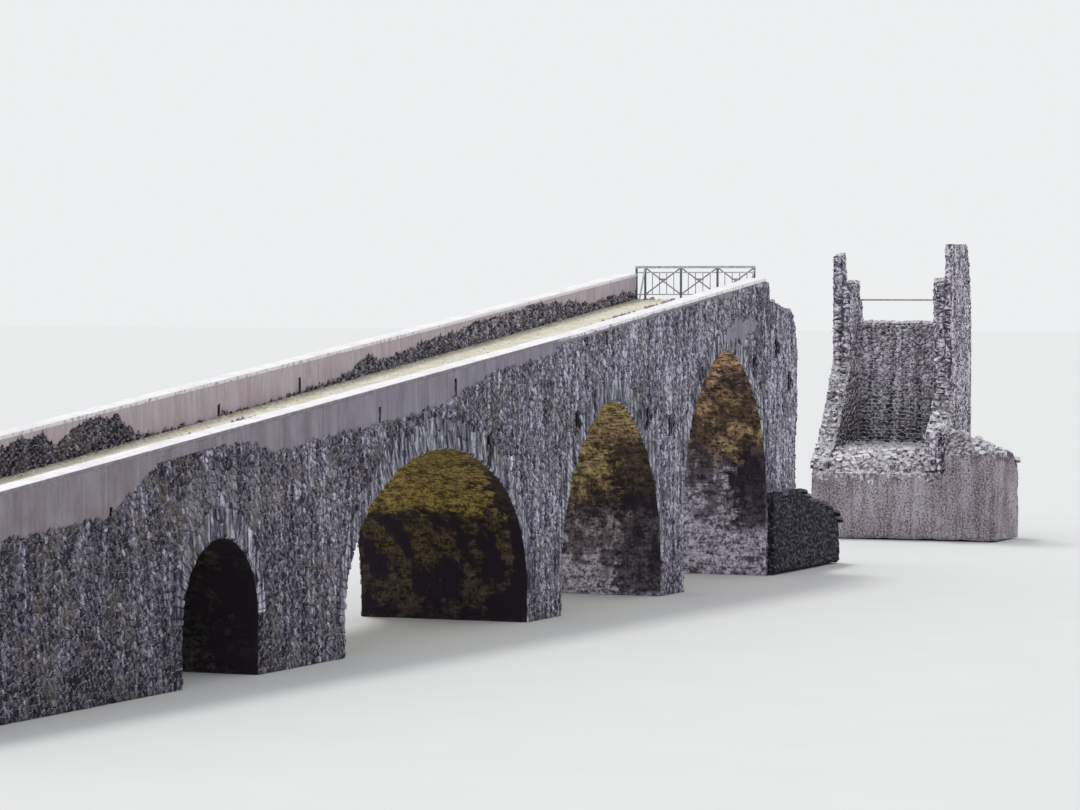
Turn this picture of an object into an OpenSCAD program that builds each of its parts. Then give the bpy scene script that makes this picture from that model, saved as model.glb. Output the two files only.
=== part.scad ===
// Ruined stone arch bridge, a scale model at 1:10.
// One model millimetre stands for ten real ones.
// The road climbs along +X to the broken end over the river.
// Beyond the fallen river arch stands what is left of the far pier.
// Places along the bridge are measured from the broken end of the near parapet,
// and the whole is then set over the middle of its own footprint.

/* [Bridge body] */
// Width between the outer faces of the side walls
bridge_w = 530; // [460:5:640]
// Thickness of the near and far side walls
wall_t = 60; // [40:1:90]
// Thickness of the stone ring of each vault
ring_t = 60; // [40:1:62]
// Length of the ramp before the first arch
ramp_l = 1510; // [800:10:2400]
// Thickness of the wall that closes the ramp
end_wall_t = 80; // [40:1:140]
// Part of the abutment that shows beside the first arch
abutment_w = 100; // [80:1:180]

/* [Roadway] */
// Height of the road above the base, at the broken end
road_end_h = 911; // [830:1:1100]
// Climb of the road for each unit of its length
road_slope = 0.1015; // [0.09:0.0005:0.11]
// Thickness of the road surface
road_t = 25; // [12:1:30]
// Length of road past the parapet's broken end
road_tip = 60; // [46:1:90]

/* [First arch, half round] */
// Clear width
span_1 = 400; // [300:5:480]
// Depth of its crown below the road
cover_1 = 163; // [120:1:200]

/* [Second arch, wide and low] */
// Clear width
span_2 = 1200; // [1080:10:1320]
// Depth of its crown below the road
cover_2 = 125; // [100:1:150]
// Height of the crown above the springing
rise_2 = 430; // [400:1:473]
// Radius of the curve at each foot
foot_r_2 = 364; // [300:1:395]

/* [Third arch, slightly pointed] */
// Clear width
span_3 = 800; // [700:5:880]
// Depth of its crown below the road
cover_3 = 154; // [110:1:180]
// Height of the crown above the springing
rise_3 = 498; // [448:1:548]
// Radius of its rounded crown
crown_r_3 = 240; // [200:5:280]

/* [Fourth arch, tall and pointed] */
// Clear width
span_4 = 768; // [690:2:844]
// Depth of its crown below the road
cover_4 = 113; // [96:1:130]
// Height of the crown above the springing
rise_4 = 480; // [436:1:534]
// Radius of its rounded crown
crown_r_4 = 180; // [140:5:220]
// Place of its river side past the parapet's broken end
last_foot_x = 14; // [0:1:30]

/* [Piers] */
// Width of the pier between the first and second arches
pier_a_w = 490; // [360:5:560]
// Width of the pier between the second and third arches
pier_b_w = 250; // [200:5:320]
// Width of the pier between the third and fourth arches
pier_c_w = 196; // [180:2:260]
// Width of the broken pier at the river
pier_d_w = 286; // [240:2:340]

/* [Parapets] */
// Thickness of both parapets
parapet_t = 50; // [36:1:60]
// Thickness of the coping
coping_t = 10; // [6:1:16]
// Length of the eastern stretch, from the bend in the parapets to the broken end
parapet_east_l = 1600; // [1200:10:2000]
// Height of the near parapet where the ramp starts
near_h_west = 112; // [90:1:130]
// Height of the near parapet at its bend
near_h_bend = 81; // [70:1:110]
// Height of the near parapet at the broken end
near_h_east = 84; // [70:1:110]
// Height of the far parapet where the ramp starts
far_h_west = 120; // [90:1:140]
// Height of the far parapet at its bend
far_h_bend = 98; // [80:1:120]
// Height of the far parapet at the broken end
far_h_east = 95; // [80:1:120]

/* [Railing across the road] */
// Place of the railing along the road, past the parapet's broken end
railing_x = 36; // [12:1:40]
// Height of the railing above the road
railing_h = 119; // [90:1:140]
// Side of the square posts
post_w = 6; // [4:0.5:9]
// Side of the top rail
top_rail_w = 8; // [5:0.5:10]
// Side of the thin rails
thin_rail_w = 4; // [3:0.5:6]
// Width of the crossed bars
brace_w = 4; // [2:0.5:6]
// Height of the lower rail above the road
low_rail_h = 21; // [12:1:34]
// Height of the upper thin rail above the road
high_rail_h = 95; // [70:1:105]

/* [Drain holes] */
// Width of the narrow holes in the walls
hole_w = 14; // [8:1:20]
// Height of the holes at the foot of the parapets
drain_h = 34; // [20:1:44]
// Height of the holes between the arches
slot_h = 56; // [36:1:62]
// Depth of the holes that end inside a wall
hole_depth = 42; // [16:1:50]

/* [Footing at the river] */
// Height of the footing of the broken pier
footing_h = 275; // [200:1:300]
// Reach of the footing towards the river
footing_l = 400; // [200:5:520]
// Reach of the footing past each face of the bridge
footing_out = 30; // [15:1:60]

/* [Remains of the far pier] */
// Clear length of the fallen river arch, from pier face to the base beyond
fallen_span = 1660; // [1200:10:2000]
// Length of the base along the bridge
base_l = 590; // [540:5:700]
// Height of the base
base_h = 265; // [200:1:300]
// Reach of the cutwater in front of the near face
cutwater_out = 213; // [120:1:260]
// Length of the cutwater along the bridge
cutwater_l = 320; // [220:1:380]
// Rise of its worn top to the foot of the near wall
cutwater_rise = 158; // [100:1:180]
// Depth of the rubble between the walls
rubble_h = 98; // [60:1:120]
// Thickness of the standing walls
ruin_wall_t = 70; // [50:1:90]
// Distance from the front of the base to the wall between them
back_wall_x = 365; // [325:1:402]
// Thickness of the wall between them
back_wall_t = 125; // [80:1:138]
// Height of the wall between them, above the base
back_wall_h = 555; // [500:1:620]
// Height of the near wall's ledge above the wall between them
near_ledge_up = 165; // [140:1:190]
// Height of the near wall above its ledge
near_top_h = 141; // [60:1:200]
// Thickness of the near wall above its ledge
near_top_t = 24; // [16:1:48]
// Length of the near wall's top
near_top_l = 192; // [120:1:215]
// Height of the far wall's ledge above the wall between them
far_ledge_up = 158; // [130:1:190]
// Height of the far wall above its ledge
far_top_h = 104; // [40:1:160]
// Thickness of the far wall above its ledge
far_top_t = 38; // [20:1:48]
// Length of the far wall's top
far_top_l = 40; // [24:1:70]
// Height of the pipe rail above the wall between them
pipe_up = 92; // [60:1:110]
// Diameter of the pipe rail
pipe_d = 6; // [4:0.5:9]

/* [Hidden] */

$fn = 96;

// Places along the bridge, from the river arch back to the ramp
arch_4_right = last_foot_x;
arch_4_left = arch_4_right - span_4;
arch_3_right = arch_4_left - pier_c_w;
arch_3_left = arch_3_right - span_3;
arch_2_right = arch_3_left - pier_b_w;
arch_2_left = arch_2_right - span_2;
arch_1_right = arch_2_left - pier_a_w;
arch_1_left = arch_1_right - span_1;
ramp_x = arch_1_left - abutment_w;
west_x = ramp_x - ramp_l;
bend_x = -parapet_east_l;
river_x = arch_4_right + pier_d_w;
ruin_x = river_x + fallen_span;
east_x = ruin_x + base_l;
mid_x = (west_x + east_x) / 2;
mid_y = (bridge_w + footing_out - cutwater_out) / 2;

function road_z(x) = road_end_h + road_slope * x;
function springing(left, right, cover, rise) = road_z((left + right) / 2) - cover - rise;

// Each arch springs where its rise and the cover over its crown leave it
spring_1 = springing(arch_1_left, arch_1_right, cover_1, span_1 / 2);
spring_2 = springing(arch_2_left, arch_2_right, cover_2, rise_2);
spring_3 = springing(arch_3_left, arch_3_right, cover_3, rise_3);
spring_4 = springing(arch_4_left, arch_4_right, cover_4, rise_4);

// Each arch: left foot, right foot, height of the springing
FEET = [
    [arch_1_left, arch_1_right, spring_1],
    [arch_2_left, arch_2_right, spring_2],
    [arch_3_left, arch_3_right, spring_3],
    [arch_4_left, arch_4_right, spring_4]
];
// The bays meet over the middle of each pier
BAY_X = [
    ramp_x,
    (arch_1_right + arch_2_left) / 2,
    (arch_2_right + arch_3_left) / 2,
    (arch_3_right + arch_4_left) / 2,
    river_x
];
// Top of the plain pier below each bay line
PIER_TOP = [spring_1, max(spring_1, spring_2), max(spring_2, spring_3), max(spring_3, spring_4), spring_4];

// Ragged edge of the broken pier: shares of its width past its face,
// and shares of the height from the springing to the road, down from the road
BROKEN_EDGE = [
    [-0.54, 0.016], [-0.12, 0.05], [-0.02, 0.125], [0.077, 0.27], [0.056, 0.41], [0.07, 0.55], [0, 0.75]
];
// Broken ends of the parapets: share of the road's tip, and share of the height
NEAR_END = [[0, 1], [0.67, 0.7], [0.77, 0]];
FAR_END = [[0.75, 1], [0.63, 0.55], [0.73, 0]];
// Worn top of the river footing: share of its reach, and of its height
FOOTING_TOP = [[0, 1], [0.14, 0.92], [0.51, 0.81], [0.85, 0.68], [0.99, 0.53], [1, 0]];

// Front edges of the two ruined walls, where the fallen arch sprang from them:
// share of the distance to the back wall, and share of that wall's height
FAR_FLARE = [[0.04, 0.055], [0.25, 0.17], [0.49, 0.4], [0.77, 0.74]];
NEAR_FLARE = [[0.014, 0.235], [0.11, 0.3], [0.27, 0.39], [0.323, 0.53]];
// Broken back of the far wall: share of the back wall's thickness,
// and share of the ledge's height above it
FAR_STEPS = [[0.22, 1], [0.27, 0.57], [0.48, 0.53], [0.54, 0]];

// Drain holes at the road: arch, share of its span from its middle,
// then their foot above the road and their height, in heights of a hole
DRAINS = [[0, -1.38, -0.75, 0.7], [1, -0.33, 0.1, 1], [1, 0.076, 0.1, 1.4]];
// Tall holes in the near wall: arch, share of its span from its middle,
// and depth below the road in heights of a hole
SLOTS = [
    [1, 0.27, 2.9], [2, -0.35, 3.2], [2, 0.36, 4.3], [3, -0.66, 5.2],
    [3, -0.3, 2.9], [3, 0.34, 3.4], [3, 0.62, 2.9], [3, 0.79, 5.2]
];

// Shares of the road's width at which the railing's posts stand
POST_SHARES = [0, 0.31, 0.62, 0.925, 1];
road_w = bridge_w - 2 * parapet_t;
// Larger than any arch, for cutting the curves at their springing
big = 3000;
// How far a cut runs past the face that it opens
past = ring_t / 20;

function blend(x, x0, h0, x1, h1) = h0 + (h1 - h0) * (x - x0) / (x1 - x0);
function near_top_z(x) = road_z(x) + (x < bend_x
    ? blend(x, west_x, near_h_west, bend_x, near_h_bend)
    : blend(x, bend_x, near_h_bend, 0, near_h_east));
function far_top_z(x) = road_z(x) + (x < bend_x
    ? blend(x, west_x, far_h_west, bend_x, far_h_bend)
    : blend(x, bend_x, far_h_bend, 0, far_h_east));

// Stands a side view up and gives it a depth, from the near face back
module along(y0, y1) {
    translate([-mid_x, y1 - mid_y, 0])
        rotate([90, 0, 0])
            linear_extrude(y1 - y0) children();
}

// Stands a cross view up and gives it a length along the bridge
module across(x0, x1) {
    translate([x0 - mid_x, -mid_y, 0])
        rotate([90, 0, 90])
            linear_extrude(x1 - x0) children();
}

module block(x0, x1, y0, y1, z0, z1) {
    translate([x0 - mid_x, y0 - mid_y, z0]) cube([x1 - x0, y1 - y0, z1 - z0]);
}

// Curve struck from one centre
module half_round(half, grow) {
    intersection() {
        circle(half + grow);
        translate([-big, 0]) square([2 * big, big]);
    }
}

// Curve struck from three centres: a small one at each foot and a wide crown
module three_centred(half, rise, foot_r, grow) {
    a = half - foot_r;
    crown_r = (a * a + rise * rise - foot_r * foot_r) / (2 * (rise - foot_r));
    c = rise - crown_r;
    reach = big / (-c);
    intersection() {
        union() {
            translate([-a, 0]) circle(foot_r + grow);
            translate([a, 0]) circle(foot_r + grow);
            intersection() {
                translate([0, c]) circle(crown_r + grow);
                polygon([[0, c], [a * reach, c - c * reach], [-a * reach, c - c * reach]]);
            }
        }
        translate([-big, 0]) square([2 * big, big]);
    }
}

// Pointed curve with a rounded crown: a wide arc up each side, a small one over them
module round_pointed(half, rise, crown_r, grow) {
    up = rise - crown_r;
    c = (up * up - (half - crown_r) * (half - crown_r)) / (2 * (half - crown_r));
    lean = c * (big / up - 1);
    intersection() {
        union() {
            translate([0, up]) circle(crown_r + grow);
            for (side = [-1, 1])
                intersection() {
                    translate([-side * c, 0]) circle(half + c + grow);
                    polygon([
                        [-side * c, 0], [-side * c, -big], [2 * side * big, -big],
                        [2 * side * big, big], [side * lean, big]
                    ]);
                }
        }
        translate([-big, 0]) square([2 * big, big]);
    }
}

// Side view of arch i above its springing, grown outwards for the back of its ring
module curve(i, grow = 0) {
    translate([(FEET[i][0] + FEET[i][1]) / 2, FEET[i][2]]) {
        if (i == 0) half_round(span_1 / 2, grow);
        if (i == 1) three_centred(span_2 / 2, rise_2, foot_r_2, grow);
        if (i == 2) round_pointed(span_3 / 2, rise_3, crown_r_3, grow);
        if (i == 3) round_pointed(span_4 / 2, rise_4, crown_r_4, grow);
    }
}

module vault(i) {
    along(0, bridge_w)
        difference() {
            curve(i, ring_t);
            curve(i);
        }
}

// Side view of a pier, between two rings where one of them starts lower
module pier_view(x0, x1, top, i, j) {
    difference() {
        translate([x0, 0]) square([x1 - x0, top]);
        curve(i, ring_t);
        curve(j, ring_t);
    }
}

// Ragged river end of the last bay, from the road's tip down to the pier
function river_edge(down) = concat(
    down > 0 ? [[road_tip, road_z(road_tip) - down]] : [],
    [[road_tip, road_z(road_tip)]],
    [for (p = BROKEN_EDGE) [river_x + p[0] * pier_d_w, road_end_h - p[1] * (road_end_h - spring_4)]]
);

// Side view of the masonry of bay i over its vault, up to a given depth below the road
module bay_view(i, down = 0) {
    x0 = BAY_X[i];
    x1 = BAY_X[i + 1];
    mid = (FEET[i][0] + FEET[i][1]) / 2;
    top = i < 3 ? [[x1, road_z(x1) - down]] : river_edge(down);
    difference() {
        polygon(concat(
            [[x0, road_z(x0) - down], [x0, PIER_TOP[i]], [mid, PIER_TOP[i]]],
            [[mid, PIER_TOP[i + 1]], [x1, PIER_TOP[i + 1]]],
            [for (k = [len(top) - 1:-1:0]) top[k]]
        ));
        curve(i, ring_t);
        translate([FEET[i][0], 0]) square([FEET[i][1] - FEET[i][0], FEET[i][2]]);
    }
}

// Side view of the road surface
module road_view(t) {
    polygon([
        [west_x, road_z(west_x) - t], [road_tip, road_z(road_tip) - t],
        [road_tip, road_z(road_tip)], [west_x, road_z(west_x)]
    ]);
}

function hole_x(arch, share) =
    (FEET[arch][0] + FEET[arch][1]) / 2 + share * (FEET[arch][1] - FEET[arch][0]);

module hole(x, y0, y1, foot, h) {
    block(x - hole_w / 2, x + hole_w / 2, y0, y1, foot, foot + h);
}

// Drains cut from one depth to another; those above the road pass through a parapet
module drain_holes(y0, y1) {
    for (d = DRAINS) {
        x = hole_x(d[0], d[1]);
        hole(x, y0, y1, road_z(x) + d[2] * drain_h, d[3] * drain_h);
    }
}

module tall_holes() {
    for (s = SLOTS) {
        x = hole_x(s[0], s[1]);
        hole(x, -past, hole_depth, road_z(x) - (s[2] + 0.5) * slot_h, slot_h);
    }
}

module near_spandrel(i) {
    color("#8b8680")
        difference() {
            along(0, wall_t) bay_view(i);
            tall_holes();
        }
}

module far_spandrel(i) {
    color("#8b8680") along(bridge_w - wall_t, bridge_w) bay_view(i);
}

module core_fill(i) {
    color("#7a6f5f") along(wall_t, bridge_w - wall_t) bay_view(i, road_t);
}

// Side view of a stretch of the ramp, up to a given depth below the road
module ramp_view(x0, x1, down = 0) {
    polygon([[x0, 0], [x1, 0], [x1, road_z(x1) - down], [x0, road_z(x0) - down]]);
}

module ramp_end_wall() {
    color("#8b8680")
        along(wall_t, bridge_w - wall_t) ramp_view(west_x, west_x + end_wall_t, road_t);
}

module ramp_near_wall() {
    color("#8b8680")
        difference() {
            along(0, wall_t) ramp_view(west_x, ramp_x);
            drain_holes(-past, hole_depth);
        }
}

module ramp_far_wall() {
    color("#8b8680")
        difference() {
            along(bridge_w - wall_t, bridge_w) ramp_view(west_x, ramp_x);
            drain_holes(bridge_w - hole_depth, bridge_w + past);
        }
}

module ramp_fill() {
    color("#7a6f5f")
        along(wall_t, bridge_w - wall_t) ramp_view(west_x + end_wall_t, ramp_x, road_t);
}

module west_abutment() {
    color("#7d7870") block(ramp_x, arch_1_left, 0, bridge_w, 0, spring_1);
}

module pier_a() {
    color("#7d7870") along(0, bridge_w) pier_view(arch_1_right, arch_2_left, PIER_TOP[1], 0, 1);
}

module pier_b() {
    color("#7d7870") along(0, bridge_w) pier_view(arch_2_right, arch_3_left, PIER_TOP[2], 1, 2);
}

module pier_c() {
    color("#7d7870") along(0, bridge_w) pier_view(arch_3_right, arch_4_left, PIER_TOP[3], 2, 3);
}

module pier_d() {
    color("#7d7870") block(arch_4_right, river_x, 0, bridge_w, 0, spring_4);
}

module vault_ring(i) {
    color("#9a8a5c") vault(i);
}

module road_surface() {
    color("#cfc4a8") along(wall_t, bridge_w - wall_t) road_view(road_t);
}

// Side view of a stretch of parapet below its coping
module parapet_west_view(near) {
    polygon([
        [west_x, road_z(west_x)], [bend_x, road_z(bend_x)],
        [bend_x, (near ? near_top_z(bend_x) : far_top_z(bend_x)) - coping_t],
        [west_x, (near ? near_top_z(west_x) : far_top_z(west_x)) - coping_t]
    ]);
}

module parapet_east_view(near) {
    ends = near ? NEAR_END : FAR_END;
    top_e = (near ? near_h_east : far_h_east) - coping_t;
    polygon(concat(
        [[bend_x, (near ? near_top_z(bend_x) : far_top_z(bend_x)) - coping_t]],
        [for (p = ends) [p[0] * road_tip, road_z(p[0] * road_tip) + p[1] * top_e]],
        [[bend_x, road_z(bend_x)]]
    ));
}

// Side view of a coping that follows the parapet's top over its bend
module coping_view(near) {
    end_x = (near ? NEAR_END[0][0] : FAR_END[0][0]) * road_tip;
    h_w = near ? near_h_west : far_h_west;
    h_b = near ? near_h_bend : far_h_bend;
    h_e = near ? near_h_east : far_h_east;
    polygon([
        [west_x, road_z(west_x) + h_w - coping_t], [bend_x, road_z(bend_x) + h_b - coping_t],
        [end_x, road_z(end_x) + h_e - coping_t], [end_x, road_z(end_x) + h_e],
        [bend_x, road_z(bend_x) + h_b], [west_x, road_z(west_x) + h_w]
    ]);
}

module near_parapet_west() {
    color("#a39c98")
        difference() {
            along(0, parapet_t) parapet_west_view(true);
            drain_holes(-past, parapet_t + past);
        }
}

module near_parapet_east() {
    color("#a39c98") along(0, parapet_t) parapet_east_view(true);
}

module far_parapet_west() {
    color("#a88f84")
        difference() {
            along(bridge_w - parapet_t, bridge_w) parapet_west_view(false);
            drain_holes(bridge_w - parapet_t - past, bridge_w + past);
        }
}

module far_parapet_east() {
    color("#a88f84") along(bridge_w - parapet_t, bridge_w) parapet_east_view(false);
}

module near_coping() {
    color("#d9d6cf") along(0, parapet_t) coping_view(true);
}

module far_coping() {
    color("#d9d6cf") along(bridge_w - parapet_t, bridge_w) coping_view(false);
}

function post_y(k) = parapet_t + (road_w - post_w) * POST_SHARES[k];
rail_base = road_z(railing_x + post_w);
rail_floor = road_z(railing_x);

module railing_posts() {
    color("#7c8784")
        for (k = [0:4])
            difference() {
                block(railing_x, railing_x + post_w, post_y(k), post_y(k) + post_w,
                    rail_floor, rail_base + railing_h - top_rail_w);
                along(0, bridge_w) road_view(road_t);
            }
}

module rail_between(k, h, w) {
    x = railing_x + (post_w - w) / 2;
    block(x, x + w, post_y(k) + post_w, post_y(k + 1), rail_base + h, rail_base + h + w);
}

module railing_rails() {
    color("#9aa3a0") {
        x = railing_x + (post_w - top_rail_w) / 2;
        block(x, x + top_rail_w, parapet_t, bridge_w - parapet_t,
            rail_base + railing_h - top_rail_w, rail_base + railing_h);
        for (k = [0:3]) {
            rail_between(k, low_rail_h, thin_rail_w);
            rail_between(k, high_rail_h, thin_rail_w);
        }
    }
}

// One bay of crossed bars from the lower rail to the top rail, parted by the thin rail between
module brace_bay(k) {
    y0 = post_y(k) + post_w;
    y1 = post_y(k + 1);
    z0 = rail_base + low_rail_h + thin_rail_w;
    z1 = rail_base + railing_h - top_rail_w;
    x = railing_x + (post_w - thin_rail_w) / 2;
    tilt = atan2(z1 - z0, y1 - y0);
    reach = norm([y1 - y0, z1 - z0]);
    intersection() {
        union() {
            block(x, x + thin_rail_w, y0, y1, z0, rail_base + high_rail_h);
            block(x, x + thin_rail_w, y0, y1, rail_base + high_rail_h + thin_rail_w, z1);
        }
        translate([x - mid_x, (y0 + y1) / 2 - mid_y, (z0 + z1) / 2])
            for (s = [-1, 1])
                rotate([s * tilt, 0, 0])
                    translate([0, -reach, -brace_w / 2])
                        cube([thin_rail_w, 2 * reach, brace_w]);
    }
}

module railing_braces() {
    color("#7c8784") for (k = [0:2]) brace_bay(k);
}

module river_footing() {
    color("#6c6660") {
        difference() {
            along(-footing_out, bridge_w + footing_out)
                polygon(concat(
                    [[arch_4_right, 0], [arch_4_right, footing_h]],
                    [for (p = FOOTING_TOP) [river_x + p[0] * footing_l, p[1] * footing_h]]
                ));
            block(arch_4_right - past, river_x, 0, bridge_w, -past, footing_h + past);
        }
    }
}

module ruin_base() {
    color("#8f857a") block(ruin_x, east_x, 0, bridge_w, 0, base_h);
}

// Cutwater with a worn top that rises to the foot of the near wall
module ruin_cutwater() {
    function worn(share) = base_h + share * cutwater_rise;
    color("#8f857a")
        intersection() {
            across(ruin_x, ruin_x + cutwater_l)
                polygon([
                    [-cutwater_out, 0], [0, 0], [0, worn(1)],
                    [-0.2 * cutwater_out, worn(0.95)], [-cutwater_out, worn(0.44)]
                ]);
            along(-cutwater_out, 0)
                polygon([
                    [ruin_x, 0], [ruin_x + cutwater_l, 0], [ruin_x + cutwater_l, worn(0.14)],
                    [ruin_x + 0.37 * cutwater_l, worn(1)], [ruin_x + 0.06 * cutwater_l, worn(0.57)],
                    [ruin_x, worn(0.44)]
                ]);
        }
}

back_wall_top = base_h + back_wall_h;
back_wall_end = back_wall_x + back_wall_t;

// Points of a front edge, from shares of the distance and height of the back wall
function flare(edge) = [for (p = edge) [ruin_x + p[0] * back_wall_x, base_h + p[1] * back_wall_h]];

module ruin_near_wall() {
    front = ruin_x + NEAR_FLARE[len(NEAR_FLARE) - 1][0] * back_wall_x;
    back = ruin_x + back_wall_x;
    ledge = back_wall_top + near_ledge_up;
    top = ledge + near_top_h;
    color("#b4afa6")
        intersection() {
            along(0, ruin_wall_t)
                polygon(concat(
                    [[back, base_h], [ruin_x + NEAR_FLARE[0][0] * back_wall_x, base_h]],
                    flare(NEAR_FLARE),
                    [
                        [front, top], [front + near_top_l, top],
                        [ruin_x + 0.945 * back_wall_x, top - 0.6 * near_top_h],
                        [back, top - 1.6 * near_top_h]
                    ]
                ));
            across(ruin_x, back)
                polygon([
                    [0, 0], [ruin_wall_t, 0], [ruin_wall_t, ledge],
                    [near_top_t, ledge], [near_top_t, top], [0, top]
                ]);
        }
}

module ruin_far_wall() {
    front = ruin_x + FAR_FLARE[len(FAR_FLARE) - 1][0] * back_wall_x;
    back = ruin_x + back_wall_end;
    ledge = back_wall_top + far_ledge_up;
    top = ledge + far_top_h;
    color("#b4afa6")
        intersection() {
            along(bridge_w - ruin_wall_t, bridge_w)
                polygon(concat(
                    [[back, base_h], [ruin_x + FAR_FLARE[0][0] * back_wall_x, base_h]],
                    flare(FAR_FLARE),
                    [[front, top], [front + far_top_l, top], [front + 1.15 * far_top_l, ledge]],
                    [
                        for (p = FAR_STEPS)
                            [ruin_x + back_wall_x + p[0] * back_wall_t, back_wall_top + p[1] * far_ledge_up]
                    ],
                    [[back, back_wall_top]]
                ));
            across(ruin_x, back)
                polygon([
                    [bridge_w - ruin_wall_t, 0], [bridge_w, 0], [bridge_w, top],
                    [bridge_w - far_top_t, top], [bridge_w - far_top_t, ledge],
                    [bridge_w - ruin_wall_t, ledge]
                ]);
        }
}

module ruin_back_wall() {
    color("#a8a39b")
        block(ruin_x + back_wall_x, ruin_x + back_wall_end,
            ruin_wall_t / 2, bridge_w - ruin_wall_t, base_h, back_wall_top);
}

module ruin_rubble() {
    x = ruin_x;
    l = back_wall_x;
    color("#b7b1a4")
        along(ruin_wall_t, bridge_w - ruin_wall_t)
            polygon([
                [x + 0.04 * l, base_h], [x + 0.07 * l, base_h + 0.36 * rubble_h],
                [x + 0.27 * l, base_h + 0.82 * rubble_h],
                [x + l, base_h + rubble_h], [x + l, base_h]
            ]);
}

// Pipe rail from the far wall to a post on the wall between them
module ruin_pipe_rail() {
    x = ruin_x + back_wall_x + 0.16 * back_wall_t;
    y_post = 1.4 * ruin_wall_t;
    color("#9a8f86") {
        translate([x - mid_x, bridge_w - ruin_wall_t - mid_y, back_wall_top + pipe_up])
            rotate([90, 0, 0]) cylinder(d = pipe_d, h = bridge_w - ruin_wall_t - y_post);
        translate([x - mid_x, y_post - mid_y, back_wall_top])
            cylinder(d = pipe_d, h = pipe_up);
    }
}

ramp_end_wall();
ramp_near_wall();
ramp_far_wall();
ramp_fill();
west_abutment();
pier_a();
pier_b();
pier_c();
pier_d();
vault_ring(0);  // vault_1
vault_ring(1);  // vault_2
vault_ring(2);  // vault_3
vault_ring(3);  // vault_4
near_spandrel(0);  // near_spandrel_1
near_spandrel(1);  // near_spandrel_2
near_spandrel(2);  // near_spandrel_3
near_spandrel(3);  // near_spandrel_4
far_spandrel(0);  // far_spandrel_1
far_spandrel(1);  // far_spandrel_2
far_spandrel(2);  // far_spandrel_3
far_spandrel(3);  // far_spandrel_4
core_fill(0);  // core_fill_1
core_fill(1);  // core_fill_2
core_fill(2);  // core_fill_3
core_fill(3);  // core_fill_4
road_surface();
near_parapet_west();
near_parapet_east();
far_parapet_west();
far_parapet_east();
near_coping();
far_coping();
railing_posts();
railing_rails();
railing_braces();
river_footing();
ruin_base();
ruin_cutwater();
ruin_near_wall();
ruin_far_wall();
ruin_back_wall();
ruin_rubble();
ruin_pipe_rail();
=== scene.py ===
"""Looks of a ruined stone arch bridge, a scale model at 1:10.

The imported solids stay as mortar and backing. Rubble, ring stones, coats of render,
copings, gravel and fallen stones are laid over them as real geometry.
Lengths are metres of the model, so a metre here is ten on the real bridge.
"""

from __future__ import annotations

import logging
import math
from bisect import bisect_right
from collections.abc import Callable, Iterator, Sequence
from dataclasses import dataclass, replace
from enum import Enum
from random import Random

import bmesh
import bpy
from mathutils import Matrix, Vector, noise
from mathutils.bvhtree import BVHTree
from mathutils.kdtree import KDTree


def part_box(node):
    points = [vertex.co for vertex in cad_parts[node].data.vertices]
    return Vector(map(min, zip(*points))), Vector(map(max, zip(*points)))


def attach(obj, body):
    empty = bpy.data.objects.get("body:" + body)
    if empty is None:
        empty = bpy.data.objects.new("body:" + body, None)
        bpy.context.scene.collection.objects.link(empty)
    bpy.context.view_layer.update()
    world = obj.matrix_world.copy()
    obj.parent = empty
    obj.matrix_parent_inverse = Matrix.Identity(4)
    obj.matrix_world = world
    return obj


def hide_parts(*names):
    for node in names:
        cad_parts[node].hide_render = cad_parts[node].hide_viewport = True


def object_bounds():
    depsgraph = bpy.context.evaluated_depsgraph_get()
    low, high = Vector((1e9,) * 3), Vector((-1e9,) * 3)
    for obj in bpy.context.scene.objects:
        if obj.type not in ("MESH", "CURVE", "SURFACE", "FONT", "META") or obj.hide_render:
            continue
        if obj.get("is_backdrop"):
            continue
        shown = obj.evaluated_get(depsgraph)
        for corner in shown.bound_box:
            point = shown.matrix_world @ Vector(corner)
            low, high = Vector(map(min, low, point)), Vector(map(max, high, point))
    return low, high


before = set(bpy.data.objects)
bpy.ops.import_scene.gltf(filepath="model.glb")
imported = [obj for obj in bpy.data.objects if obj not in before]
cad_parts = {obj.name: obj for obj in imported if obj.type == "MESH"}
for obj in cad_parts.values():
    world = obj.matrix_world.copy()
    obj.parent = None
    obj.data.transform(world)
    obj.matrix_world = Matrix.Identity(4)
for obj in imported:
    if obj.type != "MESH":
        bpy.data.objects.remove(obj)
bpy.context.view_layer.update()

LOG = logging.getLogger("bridge")
BODY = "root"
MM = 0.001

ALONG = Vector((1, 0, 0))
ACROSS = Vector((0, 1, 0))
UP = Vector((0, 0, 1))
WALLS_H = 1.02
OFF_GRID = 0.37

Flat = tuple[float, float]
Mark = tuple[float, float, float]
Tint = tuple[float, float, float, float]
Hole = tuple[float, float, float, float]
Faces = list[tuple[int, ...]]
Weather = Callable[[Vector, Random], Mark]
Socket = bpy.types.NodeSocket
Material = bpy.types.Material
Piece = bpy.types.Object


def tint(red: int, green: int, blue: int) -> Tint:
    """Turns a colour as it is seen on a screen into the shader's own numbers.

    Args:
        red: Red from 0 to 255.
        green: Green from 0 to 255.
        blue: Blue from 0 to 255.

    Returns:
        The linear colour with full cover.
    """
    parts = [c / 255 for c in (red, green, blue)]
    linear = [c / 12.92 if c <= 0.04045 else ((c + 0.055) / 1.055) ** 2.4 for c in parts]
    return (linear[0], linear[1], linear[2], 1.0)


def clamp(value: float, low: float = 0.0, high: float = 1.0) -> float:
    """Keeps a value between two limits."""
    return max(low, min(high, value))


def ripple(*place: float) -> float:
    """Smooth noise from about -1 to 1 at a place of up to three numbers."""
    return noise.noise(Vector((*place, *([OFF_GRID] * (3 - len(place))))))


def centre(ring: Sequence[Flat]) -> Flat:
    """The middle of an outline's corners."""
    return (sum(p[0] for p in ring) / len(ring), sum(p[1] for p in ring) / len(ring))


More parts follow.
